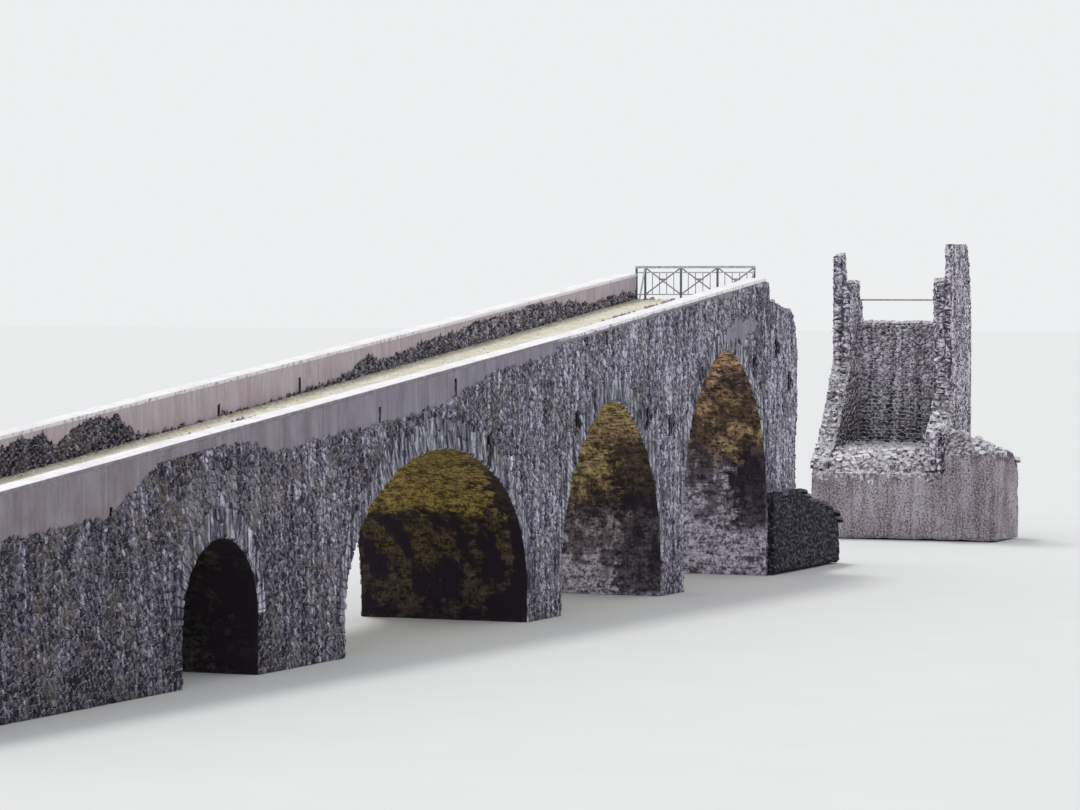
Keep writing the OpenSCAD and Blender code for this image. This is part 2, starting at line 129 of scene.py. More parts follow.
def toward(a: Flat, b: Flat, share: float) -> Flat:
    """The place at a share of the way from one to another."""
    return (a[0] + (b[0] - a[0]) * share, a[1] + (b[1] - a[1]) * share)


def net(rows: int, wide: int, flipped: bool = False) -> Faces:
    """Four-cornered faces between the points of a net.

    Args:
        rows: Rows of faces.
        wide: Points in a row.
        flipped: Whether they look the other way.

    Returns:
        The faces.
    """
    faces = []
    for i in range(rows):
        for a in range(i * wide, i * wide + wide - 1):
            loop = (a, a + 1, a + wide + 1, a + wide)
            faces.append((a, *reversed(loop[1:])) if flipped else loop)
    return faces


class Side(Enum):
    """The two long faces of the bridge, with the way that each looks along Y."""

    NEAR = -1
    FAR = 1


class Board:
    """A material's nodes, with short ways to add and join them."""

    def __init__(self, name: str, roughness: float = 0.92) -> None:
        """Starts a material.

        Args:
            name: The material's name.
            roughness: How matt the surface is.
        """
        self.material = bpy.data.materials.new(name)
        self.material.use_nodes = True
        self.nodes = self.material.node_tree.nodes
        self.links = self.material.node_tree.links
        self.shader = self.nodes["Principled BSDF"]
        self.shader.inputs["Roughness"].default_value = roughness
        self.shader.inputs["Specular IOR Level"].default_value = 0.25
        self.place = self.add("ShaderNodeTexCoord").outputs["Object"]

    def add(self, kind: str, **settings: object) -> bpy.types.Node:
        """Adds a node.

        Args:
            kind: The node's type.
            settings: Settings of the node itself.

        Returns:
            The new node.
        """
        node = self.nodes.new(kind)
        for key, value in settings.items():
            setattr(node, key, value)
        return node

    def feed(self, node: bpy.types.Node, **inputs: object) -> bpy.types.Node:
        """Fills a node's inputs with numbers or with what other nodes give.

        Args:
            node: The node to fill.
            inputs: Values by the input's name, with spaces written as underscores.

        Returns:
            The same node.
        """
        for key, value in inputs.items():
            self.join(value, node.inputs[key.replace("_", " ")])
        return node

    def join(self, value: object, socket: Socket) -> None:
        """Sets a socket's own value, or links another socket to it.

        Args:
            value: A plain value or a socket.
            socket: The socket to fill.
        """
        if isinstance(value, bpy.types.NodeSocket):
            self.links.new(value, socket)
        else:
            socket.default_value = value

    def streaks(self, x: float, y: float, z: float, detail: float = 5) -> Socket:
        """Cloudy noise with a scale of its own along each axis."""
        node = self.feed(self.add("ShaderNodeMapping"), Vector=self.place, Scale=(x, y, z))
        return self.cloud(1, detail, node.outputs["Vector"])

    def cloud(self, scale: float, detail: float = 3.0, where: Socket | None = None) -> Socket:
        """Cloudy noise.

        Args:
            scale: Features to the metre.
            detail: Finer layers added to it.
            where: Places to read it at, if not the object's own.

        Returns:
            The noise from 0 to 1.
        """
        node = self.add("ShaderNodeTexNoise")
        self.feed(node, Vector=where or self.place, Scale=scale, Detail=detail, Roughness=0.6)
        return node.outputs["Fac"]

    def cells(self, scale: float) -> Socket:
        """Distances in a pattern of cells."""
        node = self.feed(self.add("ShaderNodeTexVoronoi"), Vector=self.place, Scale=scale)
        return node.outputs["Distance"]

    def span(self, value: Socket, low: float, high: float, start: float = 0.0, end: float = 1.0) -> Socket:
        """Spreads the values between two limits over another range.

        Args:
            value: What is spread.
            low: The lower limit.
            high: The upper limit.
            start: What the lower limit becomes.
            end: What the upper limit becomes.

        Returns:
            The value in its new range.
        """
        node = self.add("ShaderNodeMapRange")
        self.feed(node, Value=value, From_Min=low, From_Max=high, To_Min=start, To_Max=end)
        return node.outputs["Result"]

    def sum(self, kind: str, first: object, second: object) -> Socket:
        """Arithmetic on two values.

        Args:
            kind: The operation.
            first: The first value or socket.
            second: The second one.

        Returns:
            The result.
        """
        node = self.add("ShaderNodeMath", operation=kind)
        self.join(first, node.inputs[0])
        self.join(second, node.inputs[1])
        return node.outputs[0]

    def shaken(
        self, value: object, pattern: Socket, spread: float, low: float = 0.3, high: float = 0.7,
    ) -> Socket:
        """A value moved up and down by a pattern."""
        return self.sum("ADD", value, self.span(pattern, low, high, -spread, spread))

    def mix(self, share: object, first: object, second: object, kind: str = "MIX") -> Socket:
        """Mixes two colours.

        Args:
            share: How much of the second one shows.
            first: The colour below.
            second: The colour on top.
            kind: The way of mixing.

        Returns:
            The mixed colour.
        """
        node = self.add("ShaderNodeMix", data_type="RGBA", blend_type=kind)
        self.join(share, node.inputs[0])
        self.join(first, node.inputs[6])
        self.join(second, node.inputs[7])
        return node.outputs[2]

    def ramp(self, value: Socket, *stops: tuple[float, Tint]) -> Socket:
        """Turns a value into a colour by stops.

        Args:
            value: The value from 0 to 1.
            stops: Places with their colours.

        Returns:
            The colour.
        """
        node = self.add("ShaderNodeValToRGB")
        line = node.color_ramp.elements
        while len(line) < len(stops):
            line.new(0.5)
        for element, (place, colour) in zip(line, stops):
            element.position = place
            element.color = colour
        self.links.new(value, node.inputs["Fac"])
        return node.outputs["Color"]

    def reading(self, name: str) -> Socket:
        """A number that the mesh carries on its corners."""
        return self.add("ShaderNodeAttribute", attribute_name=name).outputs["Fac"]

    def facing(self, axis: str) -> Socket:
        """How far the surface looks along an axis, from -1 to 1."""
        return self.part(axis, self.add("ShaderNodeNewGeometry").outputs["True Normal"])

    def part(self, axis: str, of: Socket | None = None) -> Socket:
        """One part of a direction, or of the place: X along the bridge, Y across it, Z up."""
        split = self.feed(self.add("ShaderNodeSeparateXYZ"), Vector=of or self.place)
        return split.outputs[axis]

    def finish(self, colour: object, *bumps: tuple[Socket, float]) -> Material:
        """Sets the colour and the small relief.

        Args:
            colour: The surface's colour.
            bumps: Heights from 0 to 1, each with its depth in metres.

        Returns:
            The material.
        """
        self.join(colour, self.shader.inputs["Base Color"])
        normal = None
        for height, depth in bumps:
            node = self.feed(self.add("ShaderNodeBump"), Height=height, Distance=depth, Strength=1.0)
            if normal:
                self.links.new(normal, node.inputs["Normal"])
            normal = node.outputs["Normal"]
        if normal:
            self.links.new(normal, self.shader.inputs["Normal"])
        return self.material


@dataclass(frozen=True)
class StoneFinish:
    """Weathered rubble: stones of uneven tone, streaked by rain and stained by lime, with painted sunlight
    and some bleach on the faces that look up.

    The mesh carries the tone of each stone, how limed it is, and its soot and painted shade.
    """

    name: str
    dark: Tint
    middle: Tint
    pale: Tint
    streaks: float = 0.3
    bleached_and_sunlit: float = 0.0
    warm: Tint | None = None
    lime: Tint = tint(226, 226, 234)
    soot_and_shade: Tint = tint(30, 26, 34)
    bed: float | None = None
    grain: float = 0.30
    fine: float = 46
    shaded: float = 0.0
    pitted: float = 0.8
    open_y: float = 0.0
    open_to_x: float = 0.0
    open_below: Flat = (0.88, 0.86)

    def make(self) -> Material:
        """Builds the material."""
        board = Board(self.name)
        return self.dress(board, self.colour(board))

    def value(self, board: Board) -> Socket:
        """How pale the surface is, from the stone's own tone, grain and streaks.

        Args:
            board: The material's nodes.

        Returns:
            The value, from dark to pale.
        """
        tone = board.reading("tone") if self.bed is None else self.bed
        patterns = (
            (board.cloud(95, 6), self.grain),
            (board.streaks(95, 95, 24, 4), 0.22),
            (board.streaks(self.fine, self.fine, 4), self.streaks),
        )
        for pattern, spread in patterns:
            tone = board.shaken(tone, pattern, spread, 0.33, 0.67)
        if self.shaded:
            tone = board.sum("ADD", tone, board.span(board.part("X"), -3.0, 0.6, -self.shaded, 0.0))
        return tone

    def colour(self, board: Board) -> Socket:
        """The surface's colour before lime, soot and painted shade, and painted sunlight.

        Args:
            board: The material's nodes.

        Returns:
            The colour.
        """
        colour = board.ramp(self.value(board), (0.0, self.dark), (0.5, self.middle), (1.0, self.pale))
        # Dark specks for deep pits: partly dark weathering, partly painted shade in the hollows.
        gaps = board.streaks(84, 84, 52)
        return board.mix(board.span(gaps, 0.42, 0.34, 0.0, self.pitted), colour, self.soot_and_shade)

    def dress(self, board: Board, colour: Socket) -> Material:
        """Adds patches, lime, soot and painted shade, painted sunlight on the faces that look up, painted
        shadow inside the holes, and the small relief.

        Args:
            board: The material's nodes.
            colour: The surface's colour so far.

        Returns:
            The material.
        """
        if self.warm:
            patches = board.span(board.cloud(13, 5), 0.52, 0.68, 0.0, 0.5)
            colour = board.mix(patches, colour, self.warm)
        if self.bed is None:
            thin_runs = board.streaks(150, 150, 11, 2)
            limed = board.sum("MULTIPLY", board.reading("lime"), board.span(thin_runs, 0.22, 0.42))
            colour = board.mix(limed, colour, self.lime)
            colour = board.mix(board.reading("soot_and_shade"), colour, self.soot_and_shade)
        # Painted sunlight, with some bleach: faces that look up are mixed towards near white.
        if self.bleached_and_sunlit:
            top = board.span(board.facing("Z"), 0.1, 0.6, 0.0, self.bleached_and_sunlit)
            colour = board.mix(top, colour, tint(232, 230, 230))
        # Painted shadow inside the holes: faces set back behind the wall face, landward of the river end and
        # low down, turn near black.
        if self.open_y:
            across = board.sum("ABSOLUTE", board.part("Y"), 0.0)
            inside = board.span(across, self.open_y - 0.0004, self.open_y - 0.0014)
            landward = board.span(board.part("X"), self.open_to_x, self.open_to_x - 0.01)
            inside = board.sum("MULTIPLY", inside, landward)
            inside = board.sum("MULTIPLY", inside, board.span(board.part("Z"), *self.open_below))
            colour = board.mix(inside, colour, tint(14, 12, 16))
        pits = board.span(board.cells(330), 0.0, 0.45)
        return board.finish(colour, (board.cloud(150, 6), 2.6 * MM), (pits, 0.6 * MM))


@dataclass(frozen=True)
class DarkBand:
    """A dark band on a vault's underside: where it starts and ends on the rise, and how strong it is."""

    low: float
    high: float
    strength: float
    reach: float = 0.0

    def shown(self, board: Board, rise: Socket) -> Socket:
        """How much of the stain shows at a level."""
        foot = board.span(rise, self.low - 0.03, self.low + 0.03, 0.0, self.strength)
        return board.sum("MULTIPLY", foot, board.span(rise, self.high + 0.05, self.high - 0.05))


@dataclass(frozen=True)
class SoffitFinish:
    """Underside of a vault: stained bands from its piers up to the crown."""

    name: str
    bands: tuple[tuple[float, Tint], ...]
    black: Tint
    blots: DarkBand
    rim: DarkBand
    crown_z: float
    near_y: float
    face: StoneFinish

    def make(self) -> Material:
        """Builds the material.

        Returns:
            The material.
        """
        board = Board(self.name)
        rise = board.span(board.part("Z"), 0.0, self.crown_z)
        patches = board.cloud(7, 6)
        drip = board.streaks(30, 30, 5)
        courses = board.streaks(100, 14, 100, 6)
        lumps = board.streaks(52, 34, 52, 6)
        grain = board.cloud(120, 6)
        height = board.shaken(board.shaken(board.shaken(rise, patches, 0.09), lumps, 0.03), drip, 0.03)
        colour = board.ramp(height, *self.bands)
        tone = board.reading("tone")
        for pattern, spread in ((grain, 0.5), (lumps, 0.42), (courses, 0.36)):
            tone = board.shaken(tone, pattern, spread, 0.34, 0.66)
        worn = board.span(tone, 0.0, 1.0, 0.2, 1.8)
        grey = board.add("ShaderNodeCombineColor")
        for channel in ("Red", "Green", "Blue"):
            board.links.new(worn, grey.inputs[channel])
        colour = board.mix(1.0, colour, grey.outputs[0], "MULTIPLY")
        lines = board.span(courses, 0.57, 0.61)
        lines = board.sum("MULTIPLY", lines, board.span(rise, 0.6, 0.84, 0.35, 0.9))
        colour = board.mix(lines, colour, self.black)
        blot = board.shaken(board.shaken(board.cloud(11, 7), drip, 0.10), grain, 0.05)
        blot = board.sum("MULTIPLY", board.span(blot, 0.48, 0.52), self.blots.shown(board, height))
        colour = board.mix(blot, colour, self.black)
        # Darker along the near face of the vault, over a band of its rise.
        inside = board.shaken(board.shaken(board.part("Y"), patches, 0.07), lumps, 0.05)
        edge = board.span(inside, self.near_y + self.rim.reach, self.near_y + self.rim.reach * 0.75)
        colour = board.mix(board.sum("MULTIPLY", edge, self.rim.shown(board, rise)), colour, self.black)
        side = board.span(board.sum("ABSOLUTE", board.facing("Y"), 0.0), 0.85, 0.95)
        colour = board.mix(side, colour, self.face.colour(board))
        return board.finish(colour, (grain, 3 * MM), (lumps, 3 * MM))


@dataclass(frozen=True)
class CoatFinish:
    """Cement render: even, with brown and pale runs, blotches and fine cracks."""

    name: str
    body: Tint
    run: Tint
    pale: Tint
    rusty: Tint
    warm: Tint | None = None
    warm_to_cool: Flat = (-2.9, -1.3)
    stained: float = 0.6
    fine: float = 44
    speckled: float = 0.0
    bleached_and_sunlit: float = 0.0

    def make(self) -> Material:
        """Builds the material.

        Returns:
            The material.
        """
        board = Board(self.name, 0.88)
        wide = board.streaks(12, 12, 8)
        runs = board.streaks(self.fine, self.fine, self.fine * 0.06)
        thin = board.streaks(120, 120, 5, 4)
        body = self.body
        if self.warm:
            body = board.mix(board.span(board.part("X"), *self.warm_to_cool), self.warm, self.body)
        colour = board.mix(board.span(wide, 0.38, 0.62, 0.0, 0.8), body, self.pale)
        colour = board.mix(board.span(runs, 0.5, 0.62, 0.0, self.stained), colour, self.run)
        colour = board.mix(board.span(runs, 0.42, 0.34, 0.0, self.stained), colour, self.pale)
        colour = board.mix(board.span(thin, 0.52, 0.66, 0.0, 0.34), colour, self.pale)
        colour = board.mix(board.span(thin, 0.46, 0.34, 0.0, 0.4), colour, self.run)
        rusty = board.streaks(24, 24, 6)
        colour = board.mix(board.span(rusty, 0.54, 0.64, 0.0, self.stained), colour, self.rusty)
        rough = board.cloud(300, 4)
        lumps = board.cloud(45, 4)
        if self.speckled:
            spots = board.cloud(150, 5)
            colour = board.mix(board.span(spots, 0.52, 0.62, 0.0, self.speckled), colour, tint(70, 60, 64))
            colour = board.mix(board.span(spots, 0.46, 0.36, 0.0, self.speckled), colour, self.pale)
        # A pale stony crust on the broken top, with painted sunlight on the faces that look up and painted
        # shade towards the near side.
        if self.bleached_and_sunlit:
            crust = board.shaken(board.reading("crust"), lumps, 0.35)
            stony = board.span(board.cloud(75, 6), 0.34, 0.66)
            stony = board.sum("ADD", stony, board.span(board.facing("Z"), 0.0, 0.8, -0.15, 0.25))
            stony = board.sum("ADD", stony, board.span(board.part("Y"), -0.22, -0.1, -0.25, 0.05))
            stops = ((0.1, tint(92, 84, 94)), (0.5, tint(168, 160, 170)), (0.95, tint(240, 237, 241)))
            stone = board.ramp(stony, *stops)
            colour = board.mix(board.span(crust, 0.35, 0.6, 0.0, self.bleached_and_sunlit), colour, stone)
        return board.finish(colour, (rough, 0.7 * MM), (lumps, 3 * MM))


@dataclass(frozen=True)
class PaleFinish:
    """Sun-bleached copings and gravel, with lichen and darker grit, and sides painted darker as shade, with
    patches painted lit again.
    """

    name: str
    body: Tint
    dull: Tint
    spots: Tint
    spotted: float
    scale: float
    side: Tint | None = None
    verge_y: float = 0.0

    def make(self) -> Material:
        """Builds the material.

        Returns:
            The material.
        """
        board = Board(self.name, 0.95)
        wide = board.cloud(self.scale * 0.2, 4)
        grit = board.cloud(self.scale * 4, 5)
        colour = board.mix(board.span(wide, 0.4, 0.68, 0.0, 0.8), self.body, self.dull)
        lichen = board.cloud(self.scale, 5)
        colour = board.mix(board.span(lichen, 0.56, 0.68, 0.0, self.spotted), colour, self.spots)
        colour = board.mix(board.span(grit, 0.52, 0.7, 0.0, self.spotted), colour, self.spots)
        if self.verge_y:
            verge = board.shaken(board.part("Y"), lichen, 0.03)
            verge = board.span(verge, self.verge_y - 0.03, self.verge_y, 0.0, 0.8)
            colour = board.mix(verge, colour, self.spots)
        # Painted shade on the upright sides, streaked with grit; painted sunlight gives patches of the sides
        # the pale body again, along the far parapet and towards the river end.
        if self.side:
            upright = board.span(board.facing("Z"), 0.62, 0.4)
            drips = board.streaks(70, 70, 12, 4)
            worn = board.mix(board.span(drips, 0.4, 0.66), self.side, self.spots)
            far_side = board.span(board.part("Y"), 0.2, 0.3)
            sunny = board.sum("ADD", board.span(board.part("X"), -0.25, -0.05), far_side)
            worn = board.mix(board.sum("MULTIPLY", sunny, board.span(lichen, 0.7, 0.5)), worn, self.body)
            colour = board.mix(upright, colour, worn)
        return board.finish(colour, (grit, 1.5 * MM), (lichen, 1.5 * MM))


@dataclass(frozen=True)
class PaintFinish:
    """Old paint on steel, chalked pale and rusting in spots."""

    name: str
    paint: Tint
    chalk: Tint
    rust: Tint
    rusty: float

    def make(self) -> Material:
        """Builds the material.

        Returns:
            The material.
        """
        board = Board(self.name, 0.55)
        wear = board.cloud(60, 4)
        colour = board.mix(board.span(wear, 0.35, 0.7), self.paint, self.chalk)
        spots = board.span(board.cloud(130, 5), 0.6 - self.rusty, 0.68 - self.rusty)
        colour = board.mix(spots, colour, self.rust)
        return board.finish(colour, (wear, 0.3 * MM))


class Survey:
    """Finds where rays meet chosen solids of the model."""

    def __init__(self, *names: str) -> None:
        """Gathers the solids.

        Args:
            names: The solids to gather.
        """
        gathered = bmesh.new()
        for name in names:
            gathered.from_mesh(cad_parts[name].data)
        self.tree = BVHTree.FromBMesh(gathered)
        gathered.free()

    def meet(self, start: Vector, way: Vector, reach: float = 20.0) -> Vector | None:
        """The first place where a ray meets the solids, or None."""
        return self.tree.ray_cast(start, way, reach)[0]

    def drop(self, x: float, y: float) -> float:
        """The highest level of the solids above a place."""
        found = self.meet(Vector((x, y, 5.0)), Vector((0, 0, -1)))
        return found.z if found else 0.0

    def underside(self, x: float, y: float) -> float:
        """The lowest level of the solids above a place."""
        found = self.meet(Vector((x, y, -1.0)), Vector((0, 0, 1)))
        return found.z if found else 0.0


class Site:
    """Places of the bridge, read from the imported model."""

    ARCHES = (1, 2, 3, 4)
    TIP_PAST_END = 0.060

    def __init__(self) -> None:
        """Reads the places."""
        self.near_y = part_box("near_spandrel_1")[0].y
        self.far_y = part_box("far_spandrel_1")[1].y
        self.mid_y = (self.near_y + self.far_y) / 2
        parapet_low, parapet_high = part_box("near_parapet_west")
        self.parapet_t = parapet_high.y - parapet_low.y
        self.west_x = parapet_low.x
        self.tip_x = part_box("road_surface")[1].x
        self.end_x = self.tip_x - self.TIP_PAST_END
        self.river_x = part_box("pier_d")[1].x
        road = Survey("road_surface")
        a, b = self.west_x + 0.1, self.tip_x - 0.1
        za, zb = road.drop(a, self.mid_y), road.drop(b, self.mid_y)
        self.slope = (zb - za) / (b - a)
        self.road_at_end = za + self.slope * (self.end_x - a)

    def road(self, x: float) -> float:
        """Level of the road."""
        return self.road_at_end + self.slope * (x - self.end_x)

    def face_y(self, side: Side) -> float:
        """Where a long face of the bridge stands."""
        return self.near_y if side is Side.NEAR else self.far_y


class Face:
    """A surface to lay stones on: places run along it, up it and out from it."""

    length: float
    height: float
    turned: bool = False

    def at(self, u: float, v: float, out: float = 0.0) -> Vector:
        """The place at a distance along, up and out."""
        raise NotImplementedError


@dataclass
class Panel(Face):
    """A flat face: where its two edges start, and the ways along it, out from it and up it."""

    corner: Vector
    along: Vector
    out: Vector
    length: float
    height: float
    up: Vector = UP

    def __post_init__(self) -> None:
        """Finds whether its loops have to be turned round."""
        self.turned = self.along.cross(self.up).dot(self.out) < 0

    def at(self, u: float, v: float, out: float = 0.0) -> Vector:
        """The place at a distance along, up and out."""
        return self.corner + self.along * u + self.up * v + self.out * out


@dataclass
class Barrel(Face):
    """A surface that follows a line in the side view and runs straight across the bridge.

    It looks to the right of the line, whose places are X and Z.
    """

    line: Sequence[Flat]
    y0: float
    y1: float

    def __post_init__(self) -> None:
        """Measures the line."""
        self.length = self.y1 - self.y0
        self.marks = [0.0]
        for (xa, za), (xb, zb) in zip(self.line, self.line[1:]):
            self.marks.append(self.marks[-1] + math.hypot(xb - xa, zb - za))
        self.height = self.marks[-1]

    def at(self, u: float, v: float, out: float = 0.0) -> Vector:
        """The place at a distance along, up and out.

        Args:
            u: Place across the bridge.
            v: Place along the line.
            out: Distance from the surface.

        Returns:
            The place.
        """
        k = min(max(bisect_right(self.marks, v) - 1, 0), len(self.line) - 2)
        (xa, za), (xb, zb) = self.line[k], self.line[k + 1]
        reach = self.marks[k + 1] - self.marks[k]
        share = (v - self.marks[k]) / reach
        way_x, way_z = (xb - xa) / reach, (zb - za) / reach
        x = xa + (xb - xa) * share + way_z * out
        z = za + (zb - za) * share - way_x * out
        return Vector((x, self.y0 + u, z))


@dataclass(frozen=True)
class Bond:
    """How stones are laid: their size, joints, relief and unevenness."""

    length: float = 0.022
    height: float = 0.0155
    joint: float = 0.0018
    proud: float = 0.0034
    uneven: float = 0.4
    wander: float = 0.005
    split: float = 0.22
    cut: float = 0.28
    inset: float = 0.76
    rough: float = 0.45
    merged: float = 0.14
    loose: float = 0.36
    sunk: float = 0.0008


@dataclass(frozen=True)
class Tones:
    """Weather that is the same all over: a usual tone, its spread, and soot and shade."""

    usual: float = 0.5
    spread: float = 0.2
    soot_and_shade: float = 0.0

    def __call__(self, place: Vector, rng: Random) -> Mark:
        """Tone, lime, and soot and shade of a stone."""
        return (clamp(rng.gauss(self.usual, self.spread)), 0.0, self.soot_and_shade)


class StoneMesh:
    """Gathers stones into one mesh with the tone, lime, and soot and shade of each."""

    FIELD_CORNERS = 7
    FIELD_APART = 0.78
    LUMP_CORNERS = 6

    def __init__(self, seed: int) -> None:
        """Starts an empty mesh.

        Args:
            seed: Start of its own random numbers.
        """
        self.rng = Random(seed)
        self.points: list[Vector] = []
        self.faces: Faces = []
        self.marks: list[Mark] = []

    def cushion(self, face: Face, ring: Sequence[Flat], proud: float, bond: Bond, mark: Mark) -> None:
        """Adds a stone with a flattish, tilted head.

        Args:
            face: The surface that it lies on.
            ring: Its outline on that surface.
            proud: How far it stands out.
            bond: The stones' unevenness.
            mark: Its tone, lime, and soot and shade.
        """
        rng = self.rng
        cu, cv = centre(ring)
        lean_u = rng.uniform(-0.16, 0.16)
        lean_v = rng.uniform(-0.22, 0.1)
        start = len(self.points)
        count = len(ring)
        for u, v in ring:
            self.points.append(face.at(u, v, -bond.sunk))
        for u, v in ring:
            inset = bond.inset * rng.uniform(0.86, 1.1)
            du, dv = (u - cu) * inset, (v - cv) * inset
            rise = proud * rng.uniform(1 - bond.rough * 0.5, 1 + bond.rough * 0.3)
            rise += du * lean_u + dv * lean_v
            self.points.append(face.at(cu + du, cv + dv, max(rise, 0.0004)))
        high = start + count
        sides = [(start + k, start + (k + 1) % count, high + (k + 1) % count, high + k) for k in range(count)]
        head = tuple(high + k for k in range(count))
        for loop in (*sides, head):
            self.faces.append(tuple(reversed(loop)) if face.turned else loop)
        self.marks.extend([mark] * (2 * count))

    def clad(
        self, node: str, bond: Bond, keep: Callable[[Vector, Vector], bool], weather: Weather,
    ) -> None:
        """Covers a solid's surface with uncoursed field stones.

        Args:
            node: The solid.
            bond: The stones' size and relief.
            keep: Tells from a place and the way it looks whether a stone goes there.
            weather: Gives the tone, lime, and soot and shade of a stone at a place.
        """
        rng = self.rng
        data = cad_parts[node].data
        data.calc_loop_triangles()
        apart = bond.length * self.FIELD_APART
        taken: dict[tuple[int, int, int], list[Vector]] = {}
        for triangle in data.loop_triangles:
            a, b, c = (data.vertices[k].co for k in triangle.vertices)
            normal = triangle.normal.copy()
            tries = triangle.area / (apart * apart) * 3
            for _ in range(int(tries) + (rng.random() < tries % 1)):
                root, share = math.sqrt(rng.random()), rng.random()
                spot = a * (1 - root) + b * (root * (1 - share)) + c * (root * share)
                if not keep(spot, normal):
                    continue
                key = tuple(math.floor(x / apart) for x in spot)
                around = (
                    other
                    for i in (-1, 0, 1) for j in (-1, 0, 1) for k in (-1, 0, 1)
                    for other in taken.get((key[0] + i, key[1] + j, key[2] + k), ())
                )
                if any((other - spot).length < apart for other in around):
                    continue
                taken.setdefault(key, []).append(spot)
                along = UP.cross(normal)
                along = along.normalized() if along.length > 0.2 else ALONG
                panel = Panel(spot, along, normal, 0, 0, normal.cross(along).normalized())
                turn = rng.uniform(0, 1)
                ring = []
                for k in range(self.FIELD_CORNERS):
                    angle = math.tau * (k + turn + rng.uniform(-0.25, 0.25)) / self.FIELD_CORNERS
                    reach = rng.uniform(0.5, 0.68)
                    u, v = math.cos(angle) * reach, math.sin(angle) * reach
                    ring.append((u * bond.length, v * bond.height))
                proud = bond.proud * rng.uniform(1 - bond.rough, 1 + bond.rough)
                self.cushion(panel, ring, proud, bond, weather(spot, rng))

    def lump(self, foot: Vector, size: float, mark: Mark) -> None:
        """Adds a loose, angular stone.

        Args:
            foot: The middle of its foot.
            size: About how wide it is.
            mark: Its tone, lime, and soot and shade.
        """
        rng = self.rng
        start = len(self.points)
        turn = rng.uniform(0, math.tau)
        wide = rng.uniform(0.75, 1.25)
        count = self.LUMP_CORNERS
        for share, level in ((0.42, 0.0), (0.5, 0.28), (0.3, rng.uniform(0.5, 0.7))):
            for k in range(count):
                angle = turn + math.tau * (k + rng.uniform(-0.22, 0.22)) / count
                reach = size * share * rng.uniform(0.8, 1.15)
                step = Vector((math.cos(angle) * wide, math.sin(angle) / wide, 0)) * reach
                lift = size * (level + rng.uniform(-0.05, 0.05) * (level > 0))
                self.points.append(foot + step + UP * lift)
        for low in (start, start + count):
            for k in range(count):
                a, b = low + k, low + (k + 1) % count
                self.faces.append((a, b, b + count, a + count))
        self.faces.append(tuple(start + 2 * count + k for k in range(count)))
        self.faces.append(tuple(start + count - 1 - k for k in range(count)))
        self.marks.extend([mark] * (3 * count))

    def build(self, name: str, material: Material, slot: str) -> None:
        """Makes the piece, with each point's tone, lime, and soot and shade."""
        readings = {label: [m[k] for m in self.marks] for k, label in enumerate(("tone", "lime", "soot_and_shade"))}
        place_mesh(name, self.points, self.faces, material, slot, **readings)


def place_mesh(
    name: str,
    points: Sequence[Vector],
    faces: Faces,
    material: Material,
    slot: str,
    smooth: bool = False,
    **readings: Sequence[float],
) -> Piece:
    """Makes an object from points and faces, and lets it ride on the model.

    Args:
        name: The piece's name.
        points: Its points in the model's frame.
        faces: Its faces as rows of point numbers.
        material: Its finish.
        slot: Not used.
        smooth: Whether it is shaded smooth.
        readings: Numbers for the finish to read, one for each point.

    Returns:
        The new object.
    """
    data = bpy.data.meshes.new(name)
    data.from_pydata([tuple(p) for p in points], [], faces)
    data.materials.append(material)
    data.shade_smooth() if smooth else data.shade_flat()
    data.update()
    piece = bpy.data.objects.new(name, data)
    bpy.context.scene.collection.objects.link(piece)
    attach(piece, BODY)
    for label, values in readings.items():
        data.attributes.new(label, "FLOAT", "POINT").data.foreach_set("value", values)
    LOG.info("%s: %d triangles", name, sum(len(f) - 2 for f in faces))
    return piece


